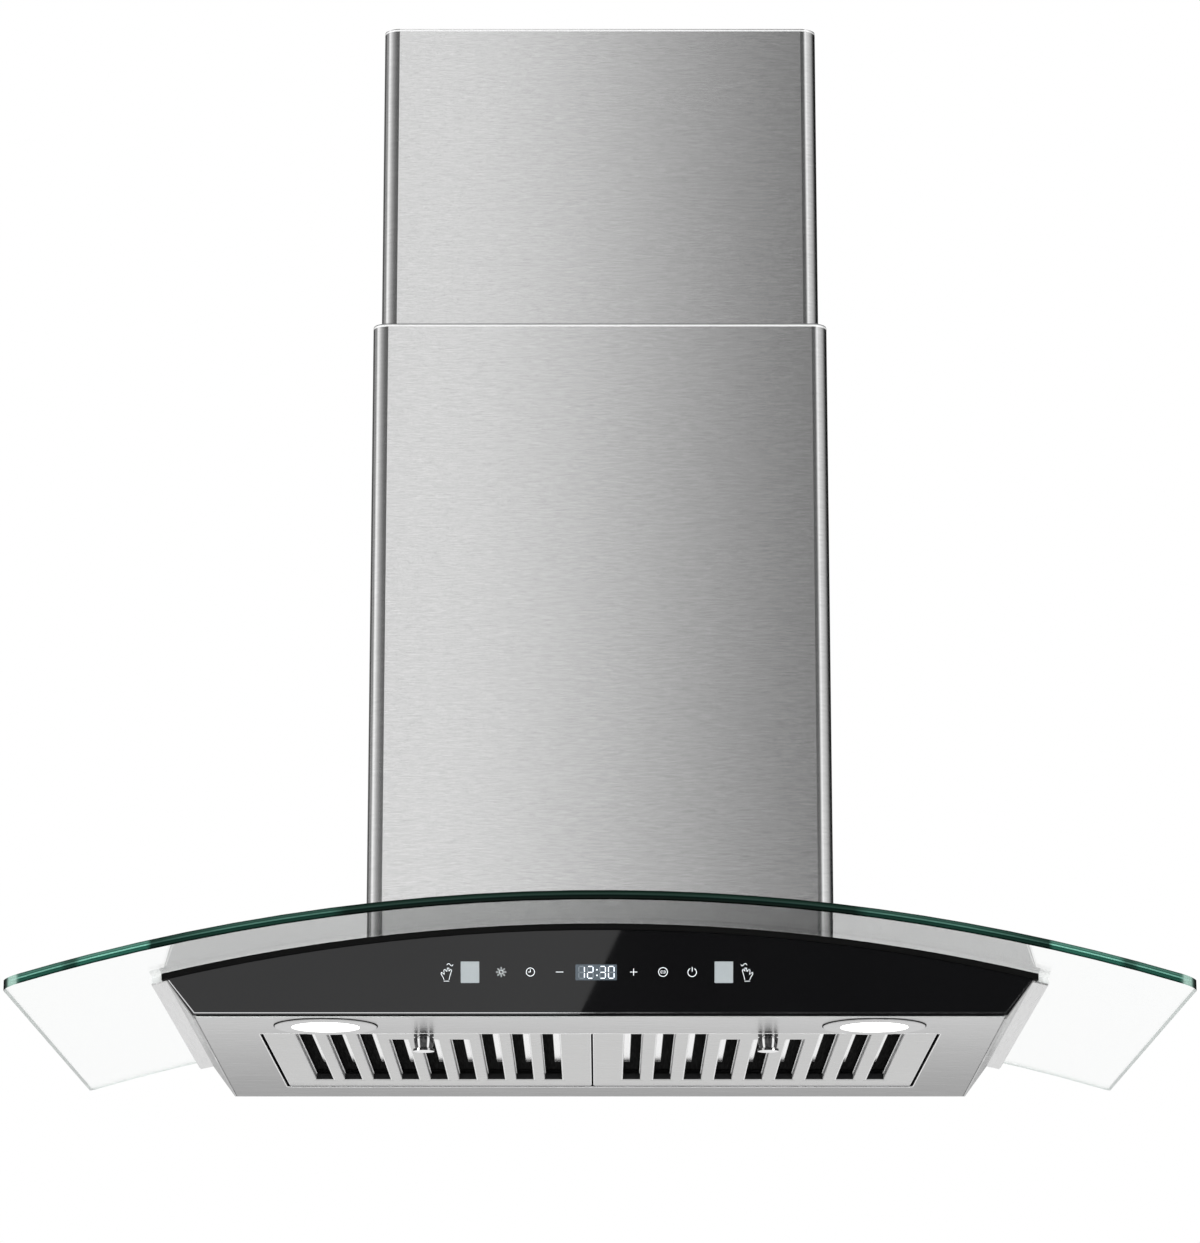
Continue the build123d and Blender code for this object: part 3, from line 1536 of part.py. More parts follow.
# Ceiling bracket inside the top of the upper chimney, flat on the wall between its
# flanges and stepped forward over them
bracket_half = upper_width / 2 - sheet
bracket_low = upper_top - ceiling_bracket_drop - ceiling_bracket_height
step_half = upper_width / 2 - chimney_flange - running_clear
step_y = -(upper_wall_gap + sheet)
tab_y = step_y - ceiling_bracket_tab
with BuildPart() as ceiling_bracket:
    with BuildSketch(Plane.XY.offset(bracket_low)):
        with BuildLine():
            outer_half = (
                (bracket_half, tab_y),
                (bracket_half, step_y),
                (step_half, step_y),
                (step_half, 0),
            )
            inner_half = (
                (step_half - sheet, -sheet),
                (step_half - sheet, step_y - sheet),
                (bracket_half - sheet, step_y - sheet),
                (bracket_half - sheet, tab_y),
            )
            Polyline(
                *outer_half,
                *[(-x, y) for x, y in reversed(outer_half)],
                *[(-x, y) for x, y in reversed(inner_half)],
                *inner_half,
                close=True,
            )
        make_face()
    extrude(amount=ceiling_bracket_height)
    with BuildSketch(Plane.XZ):
        with Locations(
            (-ceiling_bracket_hole_offset, bracket_low + ceiling_bracket_height / 2),
            (ceiling_bracket_hole_offset, bracket_low + ceiling_bracket_height / 2),
        ):
            Circle(ceiling_bracket_hole_radius)
    extrude(amount=chimney_flange, mode=Mode.SUBTRACT)
save("ceiling_bracket", ceiling_bracket)

# Ears that join the lower chimney to the blower case
ear_base = arch_height(case_half, glass_top_radius) + ear_bracket_base
ear_outer = lower_width / 2 - sheet
with BuildPart() as chimney_ears:
    for side in (-1, 1):
        outline = (
            (case_half, ear_base),
            (ear_outer, ear_base),
            (ear_outer, ear_base + ear_bracket_rise),
            (ear_outer - ear_bracket_sheet, ear_base + ear_bracket_rise),
            (ear_outer - ear_bracket_sheet, ear_base + ear_bracket_sheet),
            (case_half + ear_bracket_sheet, ear_base + ear_bracket_sheet),
            (case_half + ear_bracket_sheet, ear_base + ear_bracket_rise),
            (case_half, ear_base + ear_bracket_rise),
        )
        with BuildSketch(Plane.XZ.offset(ear_bracket_from_wall)):
            with BuildLine():
                Polyline(*[(side * x, z) for x, z in outline], close=True)
            make_face()
        extrude(amount=ear_bracket_width / 2, both=True)
save("chimney_ears", chimney_ears)

# Bolts, rubber washers and nuts that clamp the glass to the top plate
bolt_spots = [(side * bolt_offset, -row) for side in (-1, 1) for row in bolt_rows]
shank_length = glass_thickness + seal_thickness + sheet + nut_height + bolt_tip
with BuildPart() as glass_washers:
    for x, y in bolt_spots:
        with BuildSketch(glass_plane(x, y, glass_thickness)):
            Circle(washer_radius)
            Circle(bolt_radius + bolt_hole_clear, mode=Mode.SUBTRACT)
        extrude(amount=washer_height)
        with BuildSketch(glass_plane(x, y, -seal_thickness)):
            Circle(washer_radius)
            Circle(bolt_radius + bolt_hole_clear, mode=Mode.SUBTRACT)
        extrude(amount=seal_thickness - skin_clear)
save("glass_washers", glass_washers)

with BuildPart() as glass_bolts:
    for x, y in bolt_spots:
        head_plane = glass_plane(x, y, glass_thickness + washer_height)
        with BuildSketch(head_plane):
            Circle(bolt_head_radius)
        extrude(amount=bolt_head_height)
        with BuildSketch(head_plane):
            Circle(bolt_radius)
        extrude(amount=-(washer_height + shank_length))
save("glass_bolts", glass_bolts)

with BuildPart() as glass_nuts:
    for x, y in bolt_spots:
        with BuildSketch(glass_plane(x, y, -seal_thickness - sheet - seat_clear)):
            RegularPolygon(nut_radius, hexagon_sides)
            Circle(bolt_radius + seat_clear, mode=Mode.SUBTRACT)
        extrude(amount=-nut_height)
save("glass_nuts", glass_nuts)
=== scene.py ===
from math import cos, pi, radians, sin

import bmesh
import bpy
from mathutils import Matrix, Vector


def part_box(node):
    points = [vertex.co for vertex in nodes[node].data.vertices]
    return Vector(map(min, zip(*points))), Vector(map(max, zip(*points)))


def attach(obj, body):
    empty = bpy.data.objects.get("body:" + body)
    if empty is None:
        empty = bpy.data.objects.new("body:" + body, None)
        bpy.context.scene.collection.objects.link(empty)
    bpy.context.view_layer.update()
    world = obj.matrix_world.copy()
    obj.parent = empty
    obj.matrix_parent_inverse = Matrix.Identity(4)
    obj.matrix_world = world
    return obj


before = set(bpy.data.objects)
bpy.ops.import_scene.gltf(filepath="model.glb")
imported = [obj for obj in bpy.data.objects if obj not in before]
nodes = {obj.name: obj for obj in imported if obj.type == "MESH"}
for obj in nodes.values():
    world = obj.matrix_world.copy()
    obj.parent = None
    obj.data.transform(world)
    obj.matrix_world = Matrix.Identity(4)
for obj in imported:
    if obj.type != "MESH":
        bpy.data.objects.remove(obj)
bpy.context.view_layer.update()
scene = bpy.context.scene

# Named values, in metres unless said otherwise
MILLIMETRE = 0.001

# Camera: lens and sensor in millimetres, shift in frames, pitch in degrees above level
CAMERA_PLACE = (0.0, -3.2, -0.6421)
CAMERA_LENS = 126.4
CAMERA_SENSOR = 36.0
CAMERA_SHIFT = 0.04
CAMERA_PITCH = 13.0
CAMERA_REACH = 60.0

# Studio: the floor's level and half width, then the left ends (x, y) and right side of the card on it
FLOOR_LEVEL = -0.9
FLOOR_REACH = 9.0
CARD_LEVEL = FLOOR_LEVEL + 0.002
CARD_NEAR = (-0.045, -1.4)
CARD_FAR = (0.104, -2.0)
CARD_RIGHT = 1.2

# Canopy: radius of the arch under the glass, and height of its axis
ARCH_RADIUS = 1.31
ARCH_AXIS = -1.476
GLASS_THICKNESS = 0.006
GLASS_HALF_WIDTH = 0.375

# Panel: its lean, the foot line of its tray, the marks' row up its face, and their lift off it
PANEL_LEAN = radians(19.9)
TRAY_FOOT = Vector((0.0, -0.392, -0.2245))
ICON_ROW = 0.0302
SURFACE_LIFT = 0.00006

# Filters: end margin, count and half width of the slots, their lip, rim height and wall, and the
# length of the shaded part of the baffles with its soft edge
SLOT_MARGIN = 0.027
SLOT_COUNT = 9
SLOT_HALF = 0.0079
SLOT_LIP = 0.0013
SLOT_RIM = 0.0055
SLOT_WALL = 0.00615
BAFFLE_SHADE = 0.063
BAFFLE_BLEND = 0.004
KNOB_FLUTES_AND_GLINTS = 6.0

# Trim: how near a face or corner counts as being on an outline or level
PAN_SKIN = 0.0002
PLATE_SKIN = 0.0003
WALL_SKIN = 0.0002
LEVEL_SKIN = 0.00002

# Trim: limits on a part of a face's normal, which tell upright, level, edge and front faces apart
UPRIGHT = 0.5
KNOB_SIDE = 0.6
CANOPY_EDGE = 0.7
FACING_FRONT = -0.7
EDGE_FRONT = -0.05
FACING_DOWN = -0.99

# Trim: radii of the rolled edges, their rise, and the half widths between which the opening lies
FILTER_ROLL = 0.00032
OPENING_ROLL = 0.0004
ROLL_RISE = 0.0001
FRAME_WIDTH_OVER = 0.2
OPENING_REACH = (0.2, 0.23)

# Trim: the bars in the slots, by radius and place from the wall, the filter's face and the rim
BAR_INSET = 0.0002
FOOT_BAR = 0.00045
FOOT_BAR_OUT = 0.0006
FOOT_BAR_RISE = 0.0003
TOP_BAR = 0.0004
TOP_BAR_IN = 0.0002
TOP_BAR_DROP = 0.0006

# Trim: the chimneys' corners, the lamps' painted shadow rings and the steps of round shapes
CHIMNEY_CORNER = 0.011
CORNER_STEPS = 12
BEZEL_SHADOW_GAP = 0.00002
BEZEL_SHADOW_WIDTH = 0.0007
BEZEL_SHADOW_DEPTH = 0.0004
BEZEL_SHADOW_SUNK = 0.00001
RING_STEPS = 96
ROUND_STEPS = 8
ROUND_TURNS = [2 * pi * step / ROUND_STEPS for step in range(ROUND_STEPS)]


# Material building blocks
def start_material(name):
    """A new node material, its tree and its Principled shader."""
    made = bpy.data.materials.new(name)
    made.use_nodes = True
    return made, made.node_tree, made.node_tree.nodes["Principled BSDF"]


def set_inputs(node, **values):
    """Set a node's sockets by name, with _ for each space."""
    for key, value in values.items():
        node.inputs[key.replace("_", " ")].default_value = value


def rgba(colour):
    return (*colour, 1.0)


def shade(colour, factor):
    return tuple(min(1.0, part * factor) for part in colour)


def noise(tree, scale, detail=3.0, roughness=0.55, offset=(0.0, 0.0, 0.0)):
    """Noise over object coordinates, squeezed by a scale for each axis."""
    place = tree.nodes.new("ShaderNodeTexCoord")
    mapping = tree.nodes.new("ShaderNodeMapping")
    set_inputs(mapping, Scale=scale, Location=offset)
    texture = tree.nodes.new("ShaderNodeTexNoise")
    set_inputs(texture, Scale=1.0, Detail=detail, Roughness=roughness)
    tree.links.new(place.outputs["Object"], mapping.inputs["Vector"])
    tree.links.new(mapping.outputs["Vector"], texture.inputs["Vector"])
    return texture.outputs["Fac"]


def object_place(tree):
    """The object coordinates as outputs X, Y and Z."""
    place = tree.nodes.new("ShaderNodeTexCoord")
    parts = tree.nodes.new("ShaderNodeSeparateXYZ")
    tree.links.new(place.outputs["Object"], parts.inputs["Vector"])
    return parts.outputs


def ramp(tree, source, stops):
    """Colour ramp on a value, from (position, colour) stops."""
    made = tree.nodes.new("ShaderNodeValToRGB")
    band = made.color_ramp
    while len(band.elements) < len(stops):
        band.elements.new(0.5)
    for element, (position, colour) in zip(band.elements, stops):
        element.position = position
        element.color = rgba(colour)
    tree.links.new(source, made.inputs["Fac"])
    return made.outputs["Color"]


def grey_ramp(tree, source, stops):
    """Neutral ramp on a value, from (position, level) stops."""
    return ramp(tree, source, [(position, (level, level, level)) for position, level in stops])


def spread(tree, source, low, high, start=0.3, end=0.7):
    """Stretch a value between two limits."""
    made = tree.nodes.new("ShaderNodeMapRange")
    set_inputs(made, From_Min=start, From_Max=end, To_Min=low, To_Max=high)
    tree.links.new(source, made.inputs["Value"])
    return made.outputs["Result"]


def feed(tree, socket, value):
    """Give a socket a number, a colour or a link."""
    if isinstance(value, (int, float)):
        socket.default_value = value
    elif isinstance(value, tuple):
        socket.default_value = rgba(value)
    else:
        tree.links.new(value, socket)


def maths(tree, operation, *values):
    """One math node on values or numbers."""
    made = tree.nodes.new("ShaderNodeMath")
    made.operation = operation
    for socket, value in zip(made.inputs, values):
        feed(tree, socket, value)
    return made.outputs["Value"]


def mixed(tree, factor, first, second, blend="MIX"):
    """Two colours mixed; the node's colour sockets are its inputs 6 and 7 and its output 2."""
    made = tree.nodes.new("ShaderNodeMix")
    made.data_type = "RGBA"
    made.blend_type = blend
    feed(tree, made.inputs[0], factor)
    feed(tree, made.inputs[6], first)
    feed(tree, made.inputs[7], second)
    return made.outputs[2]


def mixed_shaders(tree, factor, first, second):
    """Two shaders mixed."""
    made = tree.nodes.new("ShaderNodeMixShader")
    for socket, value in zip(made.inputs, (factor, first, second)):
        tree.links.new(value, socket)
    return made.outputs["Shader"]


def coat(tree, shader, tone, wander, gloss):
    """Give a shader its colour, and a roughness that wanders between two limits."""
    tree.links.new(tone, shader.inputs["Base Color"])
    tree.links.new(spread(tree, wander, *gloss), shader.inputs["Roughness"])


def bump(tree, shader, height, strength, distance=0.0002):
    made = tree.nodes.new("ShaderNodeBump")
    set_inputs(made, Strength=strength, Distance=distance)
    tree.links.new(height, made.inputs["Height"])
    tree.links.new(made.outputs["Normal"], shader.inputs["Normal"])


def around(colour, contrast):
    """Ramp stops a little darker and a little lighter than a colour."""
    return [(0.3, shade(colour, 1 - contrast)), (0.7, shade(colour, 1 + contrast))]


def brushed(
    name, colour, lines, gloss=(0.26, 0.36), contrast=0.08, anisotropy=0.6, tangent="Z", rear_shade=()
):
    """Steel brushed in fine lines; lines scales the noise on each axis, and optional stops paint shade by
    depth.
    """
    made, tree, shader = start_material(name)
    fine = noise(tree, lines, 4.0, 0.65)
    broad = noise(tree, tuple(part / 1.7 for part in lines), 2.5, 0.55, (3.1, 1.7, 5.3))
    cloud = noise(tree, (3.0, 3.0, 3.0), 2.0, 0.5)
    tone = ramp(tree, fine, around(colour, contrast))
    layers = [
        grey_ramp(tree, broad, [(0.3, 0.92), (0.7, 1.0)]),
        grey_ramp(tree, cloud, [(0.3, 0.97), (0.7, 1.0)]),
    ]
    # Painted shade: the tone darkens towards the rear, by the object's Y
    if rear_shade:
        depth = spread(tree, object_place(tree)["Y"], 0.0, 1.0, -0.4, 0.0)
        layers.append(grey_ramp(tree, depth, rear_shade))
    for layer in layers:
        tone = mixed(tree, 1.0, tone, layer, "MULTIPLY")
    coat(tree, shader, tone, broad, gloss)
    bump(tree, shader, fine, 0.12)
    set_inputs(shader, Metallic=1.0, Anisotropic=anisotropy, Anisotropic_Rotation=0.25)
    direction = tree.nodes.new("ShaderNodeTangent")
    direction.direction_type = "RADIAL"
    direction.axis = tangent
    tree.links.new(direction.outputs["Tangent"], shader.inputs["Tangent"])
    return made


def plain(
    name, colour, gloss=(0.4, 0.55), contrast=0.12, grain=900.0, relief=0.15, metallic=0.0, **more
):
    """Moulded, painted or cast surface: fine grain, patchy tone and gloss."""
    made, tree, shader = start_material(name)
    fine = noise(tree, (grain, grain, grain), 3.0, 0.6)
    cloud = noise(tree, (25.0, 25.0, 25.0), 4.0, 0.55, (2.3, 4.1, 0.7))
    stops = around(colour, contrast)
    tone = mixed(tree, 0.5, ramp(tree, cloud, stops), ramp(tree, fine, stops))
    coat(tree, shader, tone, cloud, gloss)
    bump(tree, shader, fine, relief)
    set_inputs(shader, Metallic=metallic, **more)
    return made


# Steel: the outside sheets are brushed across, the inside sheets are plain mill finish
ACROSS_FRONT = (125.0, 125.0, 2400.0)
ACROSS_FLAT = (60.0, 1500.0, 60.0)
chimney_steel = brushed("chimney_steel", (0.68, 0.68, 0.68), ACROSS_FRONT, (0.14, 0.17), 0.08, 1.0)
# The tray's steel has painted shade, darker towards the wall at the rear
tray_steel = brushed(
    "tray_steel", (0.6, 0.6, 0.6), ACROSS_FLAT, tangent="Y",
    rear_shade=((0.05, 1.0), (0.37, 0.76), (0.8, 0.52), (1.0, 0.46)),
)
fascia_steel = brushed("fascia_steel", (0.42, 0.42, 0.42), ACROSS_FRONT)
side_steel = brushed("side_steel", (0.5, 0.5, 0.5), (45.0, 45.0, 950.0))
filter_steel = brushed("filter_steel", (0.62, 0.62, 0.615), ACROSS_FLAT, contrast=0.05, tangent="Y")
plate_steel = brushed("plate_steel", (0.67, 0.67, 0.67), (950.0, 45.0, 950.0), (0.2, 0.3), 0.05, 0.3)
# Pale steel, near white: its colour is a painted highlight, for the thin bright edges added below
highlight_steel = plain("highlight_steel", (0.9, 0.9, 0.9), (0.3, 0.4), 0.04, relief=0.05, metallic=0.35)
shaded_steel = plain("shaded_steel", (0.02, 0.02, 0.021), (0.5, 0.6), 0.15, Specular_IOR_Level=0.05)
lip_steel = plain("lip_steel", (0.56, 0.56, 0.56), (0.3, 0.4), 0.06, relief=0.05, metallic=0.4)
inner_steel = plain("inner_steel", (0.34, 0.345, 0.35), (0.38, 0.5), 0.1, metallic=1.0)
bezel_steel = brushed("bezel_steel", (0.6, 0.6, 0.6), ACROSS_FLAT, contrast=0.04, anisotropy=0.2)
chrome = plain("chrome", (0.72, 0.72, 0.73), (0.06, 0.12), 0.03, relief=0.02, metallic=1.0)
zinc = plain("zinc", (0.55, 0.56, 0.58), (0.25, 0.38), 0.12, metallic=1.0)
spring_steel = plain("spring_steel", (0.6, 0.6, 0.6), (0.2, 0.3), 0.1, metallic=1.0)
magnet_nickel = plain("magnet_nickel", (0.5, 0.5, 0.51), (0.15, 0.25), 0.06, metallic=1.0)
aluminium = plain("aluminium", (0.7, 0.71, 0.72), (0.3, 0.42), 0.07, metallic=1.0)
motor_paint = plain("motor_paint", (0.06, 0.062, 0.066), (0.35, 0.5), 0.2, 500.0)

# Rubber and plastics
black_rubber = plain(
    "black_rubber", (0.004, 0.004, 0.004), (0.6, 0.75), 0.25, 1400.0, 0.2, Specular_IOR_Level=0.04
)
grey_gasket = plain("grey_gasket", (0.8, 0.8, 0.8), (0.5, 0.65), 0.08, 1400.0, 0.2)
black_plastic = plain("black_plastic", (0.02, 0.02, 0.022), (0.4, 0.52), 0.2, 1100.0, 0.3)
impeller_plastic = plain("impeller_plastic", (0.045, 0.046, 0.05), (0.35, 0.45), 0.15)
collar_plastic = plain("collar_plastic", (0.05, 0.05, 0.054), (0.35, 0.5), 0.15)
lead_sheath = plain("lead_sheath", (0.035, 0.035, 0.037), (0.4, 0.5), 0.15)
sensor_front = plain("sensor_front", (0.385, 0.416, 0.434), (0.15, 0.25), 0.04, relief=0.03)


def circuit_board_material():
    """Green solder mask with paler tracks and tinned pads."""
    made, tree, shader = start_material("circuit_board")
    place = tree.nodes.new("ShaderNodeTexCoord")
    tracks = tree.nodes.new("ShaderNodeTexBrick")
    set_inputs(
        tracks,
        Scale=160.0,
        Mortar_Size=0.05,
        Color1=rgba((0.012, 0.11, 0.045)),
        Color2=rgba((0.014, 0.13, 0.05)),
        Mortar=rgba((0.03, 0.24, 0.09)),
    )
    pads = tree.nodes.new("ShaderNodeTexVoronoi")
    set_inputs(pads, Scale=260.0)
    tree.links.new(place.outputs["Object"], tracks.inputs["Vector"])
    tree.links.new(place.outputs["Object"], pads.inputs["Vector"])
    tinned = maths(tree, "LESS_THAN", pads.outputs["Distance"], 0.16)
    tone = mixed(tree, tinned, tracks.outputs["Color"], (0.6, 0.6, 0.58))
    coat(tree, shader, tone, noise(tree, (300.0, 300.0, 300.0)), (0.3, 0.45))
    bump(tree, shader, tracks.outputs["Fac"], 0.15)
    return made


def panel_glass_material():
    """Black back printed glass: near mirror smooth, with a very faint waviness."""
    made, tree, shader = start_material("panel_glass")
    wave = noise(tree, (7.0, 7.0, 7.0), 1.0, 0.4)
    tone = ramp(tree, wave, [(0.3, (0.0035, 0.0035, 0.004)), (0.7, (0.0055, 0.0055, 0.006))])
    coat(tree, shader, tone, noise(tree, (60.0, 60.0, 60.0)), (0.015, 0.03))
    bump(tree, shader, wave, 0.03)
    set_inputs(shader, IOR=1.5)
    return made


def clear_glass_material():
    """Float glass that lets lamp light through, with a trace of waviness."""
    made, tree, shader = start_material("clear_glass")
    set_inputs(
        shader,
        Base_Color=rgba((0.985, 0.995, 0.99)),
        Roughness=0.0,
        IOR=1.33,
        Transmission_Weight=1.0,
    )
    bump(tree, shader, noise(tree, (5.0, 5.0, 5.0), 1.0, 0.4), 0.02)
    rays = tree.nodes.new("ShaderNodeLightPath")
    through = tree.nodes.new("ShaderNodeBsdfTransparent")
    set_inputs(through, Color=rgba((0.93, 0.96, 0.945)))
    lamp_ray = maths(tree, "MAXIMUM", rays.outputs["Is Shadow Ray"], rays.outputs["Is Diffuse Ray"])
    surface = mixed_shaders(tree, lamp_ray, shader.outputs["BSDF"], through.outputs["BSDF"])
    tree.links.new(surface, tree.nodes["Material Output"].inputs["Surface"])
    return made


def glass_edge_material():
    """Polished edge, partly the glass's own green and partly painted reflections: dark green to black, with
    bright lines along it and greener ends; a painted highlight near each end, and painted black shade at
    the very ends.
    """
    made, tree, shader = start_material("glass_edge")
    place = object_place(tree)
    rise = maths(tree, "ADD", place["Z"], -ARCH_AXIS)
    rise_squared = maths(tree, "MULTIPLY", rise, rise)
    side_squared = maths(tree, "MULTIPLY", place["X"], place["X"])
    reach = maths(tree, "SQRT", maths(tree, "ADD", rise_squared, side_squared))
    up = spread(tree, reach, 0.0, 1.0, ARCH_RADIUS, ARCH_RADIUS + GLASS_THICKNESS)
    dark = ramp(tree, up, [
        (0.0, (0.0006, 0.0015, 0.001)), (0.12, (0.001, 0.002, 0.0016)), (0.25, (0.006, 0.01, 0.008)),
        (0.38, (0.002, 0.005, 0.004)), (0.48, (0.002, 0.008, 0.006)), (0.6, (0.018, 0.036, 0.029)),
        (0.75, (0.008, 0.021, 0.015)), (0.9, (0.002, 0.008, 0.006)), (1.0, (0.02, 0.026, 0.022)),
    ])
    # Painted reflections: bright lines along the edge, over the glass's green
    green = ramp(tree, up, [
        (0.0, (0.002, 0.014, 0.01)), (0.1, (0.006, 0.035, 0.024)), (0.2, (0.02, 0.09, 0.064)),
        (0.3, (0.022, 0.11, 0.078)), (0.44, (0.004, 0.05, 0.032)), (0.5, (0.16, 0.42, 0.33)),
        (0.58, (0.26, 0.6, 0.48)), (0.66, (0.012, 0.08, 0.055)), (0.8, (0.09, 0.23, 0.18)),
        (0.93, (0.05, 0.12, 0.095)), (1.0, (0.04, 0.09, 0.07)),
    ])
    side = maths(tree, "DIVIDE", maths(tree, "ABSOLUTE", place["X"]), GLASS_HALF_WIDTH)
    ends = grey_ramp(tree, side, [
        (0.0, 0.0), (0.425, 0.03), (0.45, 0.26), (0.62, 0.28), (0.75, 0.08), (0.757, 0.9),
        (0.868, 0.9), (0.878, 0.25), (0.893, 0.3), (0.902, 0.65), (1.0, 0.65),
    ])
    # Painted highlight near each end of the edge
    tip_highlight = grey_ramp(tree, side, [(0.0, 0.0), (0.972, 0.0), (0.977, 0.75), (1.0, 0.75)])
    # Painted shade: black at the very ends of the edge
    outline = grey_ramp(tree, side, [(0.0, 1.0), (0.9905, 1.0), (0.9925, 0.0), (1.0, 0.0)])
    tone = mixed(tree, tip_highlight, mixed(tree, ends, dark, green), (0.42, 0.62, 0.54))
    tone = mixed(tree, outline, (0.002, 0.003, 0.003), tone)
    streak = noise(tree, (30.0, 30.0, 2200.0), 3.0, 0.6)
    tone = mixed(tree, 1.0, tone, grey_ramp(tree, streak, [(0.35, 0.75), (0.65, 1.0)]), "MULTIPLY")
    coat(tree, shader, tone, streak, (0.08, 0.16))
    bump(tree, shader, streak, 0.03)
    set_inputs(shader, IOR=1.5, Specular_IOR_Level=0.02)
    return made


def baffle_material(name, first_slot, pitch, outward, rear):
    """Polished channel over the slots, with painted shade: near black on its outer part and near the rear.
    """
    made, tree, shader = start_material(name)
    place = object_place(tree)
    start = first_slot - pitch / 2
    steps = maths(tree, "DIVIDE", maths(tree, "SUBTRACT", place["X"], start), pitch)
    across = maths(tree, "FRACT", steps)
    if outward > 0:
        across = maths(tree, "SUBTRACT", 1.0, across)
    streak = noise(tree, (1200.0, 45.0, 45.0), 3.0, 0.6)
    steel = grey_ramp(tree, streak, [(0.3, 0.8), (0.7, 0.9)])
    # Painted shade: near black where the channel lies in shade, over each slot's outer part and at the rear
    painted_shade = grey_ramp(tree, streak, [(0.3, 0.006), (0.7, 0.02)])
    inner = grey_ramp(tree, across, [(0.56, 0.0), (0.575, 1.0)])
    depth = spread(tree, place["Y"], 0.0, 1.0, rear - BAFFLE_BLEND, rear)
    front = grey_ramp(tree, depth, [(0.0, 1.0), (1.0, 0.0)])
    unshaded = mixed(tree, 1.0, inner, front, "MULTIPLY")
    coat(tree, shader, mixed(tree, unshaded, painted_shade, steel), streak, (0.08, 0.13))
    tree.links.new(unshaded, shader.inputs["Metallic"])
    bump(tree, shader, streak, 0.05)
    set_inputs(shader, Specular_IOR_Level=0.0)
    return made


def fluted_glint_material(name, centre):
    """Chrome painted dark, with painted reflections in six bright stripes round an upright axis, over six
    shallow grooves in its bump.
    """
    made, tree, shader = start_material(name)
    place = object_place(tree)
    along = maths(tree, "SUBTRACT", place["X"], centre[0])
    deep = maths(tree, "SUBTRACT", place["Y"], centre[1])
    turn = maths(tree, "MULTIPLY", maths(tree, "ARCTAN2", along, deep), KNOB_FLUTES_AND_GLINTS)
    wave = maths(tree, "MULTIPLY", maths(tree, "COSINE", turn), -1.0)
    streak = noise(tree, (900.0, 900.0, 500.0), 3.0, 0.6)
    # Painted reflections: dark chrome between bright white stripes
    dark = ramp(tree, streak, [(0.35, (0.03, 0.03, 0.032)), (0.65, (0.1, 0.1, 0.1))])
    painted_glints = grey_ramp(tree, wave, [(0.55, 0.0), (0.9, 1.0)])
    coat(tree, shader, mixed(tree, painted_glints, dark, (0.95, 0.95, 0.95)), streak, (0.08, 0.14))
    bump(tree, shader, wave, 0.3, 0.0004)
    set_inputs(shader, Metallic=1.0)
    return made


def lit_material(name, colour, glow, strength, gloss=(0.2, 0.3)):
    """A lit lens or mark: soft uneven glow."""
    made, tree, shader = start_material(name)
    cloud = noise(tree, (90.0, 90.0, 90.0), 2.0, 0.5)
    coat(tree, shader, ramp(tree, cloud, [(0.3, shade(colour, 0.95)), (0.7, colour)]), cloud, gloss)
    set_inputs(shader, Emission_Color=rgba(glow), Emission_Strength=strength)
    return made


glass_rim = plain("glass_rim", (0.58, 0.63, 0.61), (0.3, 0.4), 0.05, 900.0, 0.05)
circuit_board = circuit_board_material()
panel_glass = panel_glass_material()
clear_glass = clear_glass_material()
glass_edge = glass_edge_material()
lamp_lens = lit_material("lamp_lens", (0.9, 0.9, 0.88), (1.0, 0.99, 0.97), 3.0)
mark_white = lit_material("mark_white", (0.7, 0.72, 0.74), (0.9, 0.95, 1.0), 0.9)
digit_lit = lit_material("digit_lit", (0.7, 0.75, 0.85), (0.85, 0.92, 1.0), 0.9)
digit_dim = lit_material("digit_dim", (0.16, 0.18, 0.2), (0.5, 0.6, 0.7), 0.12)
display_back = lit_material("display_back", (0.06, 0.075, 0.09), (0.5, 0.62, 0.75), 0.05, (0.05, 0.1))

# Finish of each node; those not named here are plain inner steel
finish_of = {
    "glass_canopy": clear_glass,
    "control_panel_glass": panel_glass,
    "underside_plate": tray_steel,
    "front_fascia": fascia_steel,
    "left_side_panel": side_steel,
    "right_side_panel": side_steel,
    "left_filter_frame": filter_steel,
    "right_filter_frame": filter_steel,
    "tray_top_plate": plate_steel,
    "lower_chimney": chimney_steel,
    "upper_chimney": chimney_steel,
    "left_lamp_bezel": bezel_steel,
    "right_lamp_bezel": bezel_steel,
    "left_lamp_lens": lamp_lens,
    "right_lamp_lens": lamp_lens,
    "left_filter_knob": chrome,
    "right_filter_knob": chrome,
    "front_seal": black_rubber,
    "glass_washers": black_rubber,
    "side_gaskets": grey_gasket,
    "board_holder": black_plastic,
    "junction_box": black_plastic,
    "junction_cover": black_plastic,
    "chimney_glides": black_plastic,
    "supply_gland": black_plastic,
    "touch_board": circuit_board,
    "lamp_boards": circuit_board,
    "display_module": display_back,
    "gesture_sensors": sensor_front,
    "touch_springs": spring_steel,
    "left_lamp_housing": aluminium,
    "right_lamp_housing": aluminium,
    "run_capacitor": aluminium,
    "front_damper_flap": aluminium,
    "rear_damper_flap": aluminium,
    "left_knob_nut": zinc,
    "right_knob_nut": zinc,
    "left_filter_pins": zinc,
    "right_filter_pins": zinc,
    "damper_pins": zinc,
    "glass_bolts": zinc,
    "glass_nuts": zinc,
    "motor_shaft": zinc,
    "filter_magnets": magnet_nickel,
    "impeller": impeller_plastic,
    "motor": motor_paint,
    "outlet_collar": collar_plastic,
    "internal_leads": lead_sheath,
}

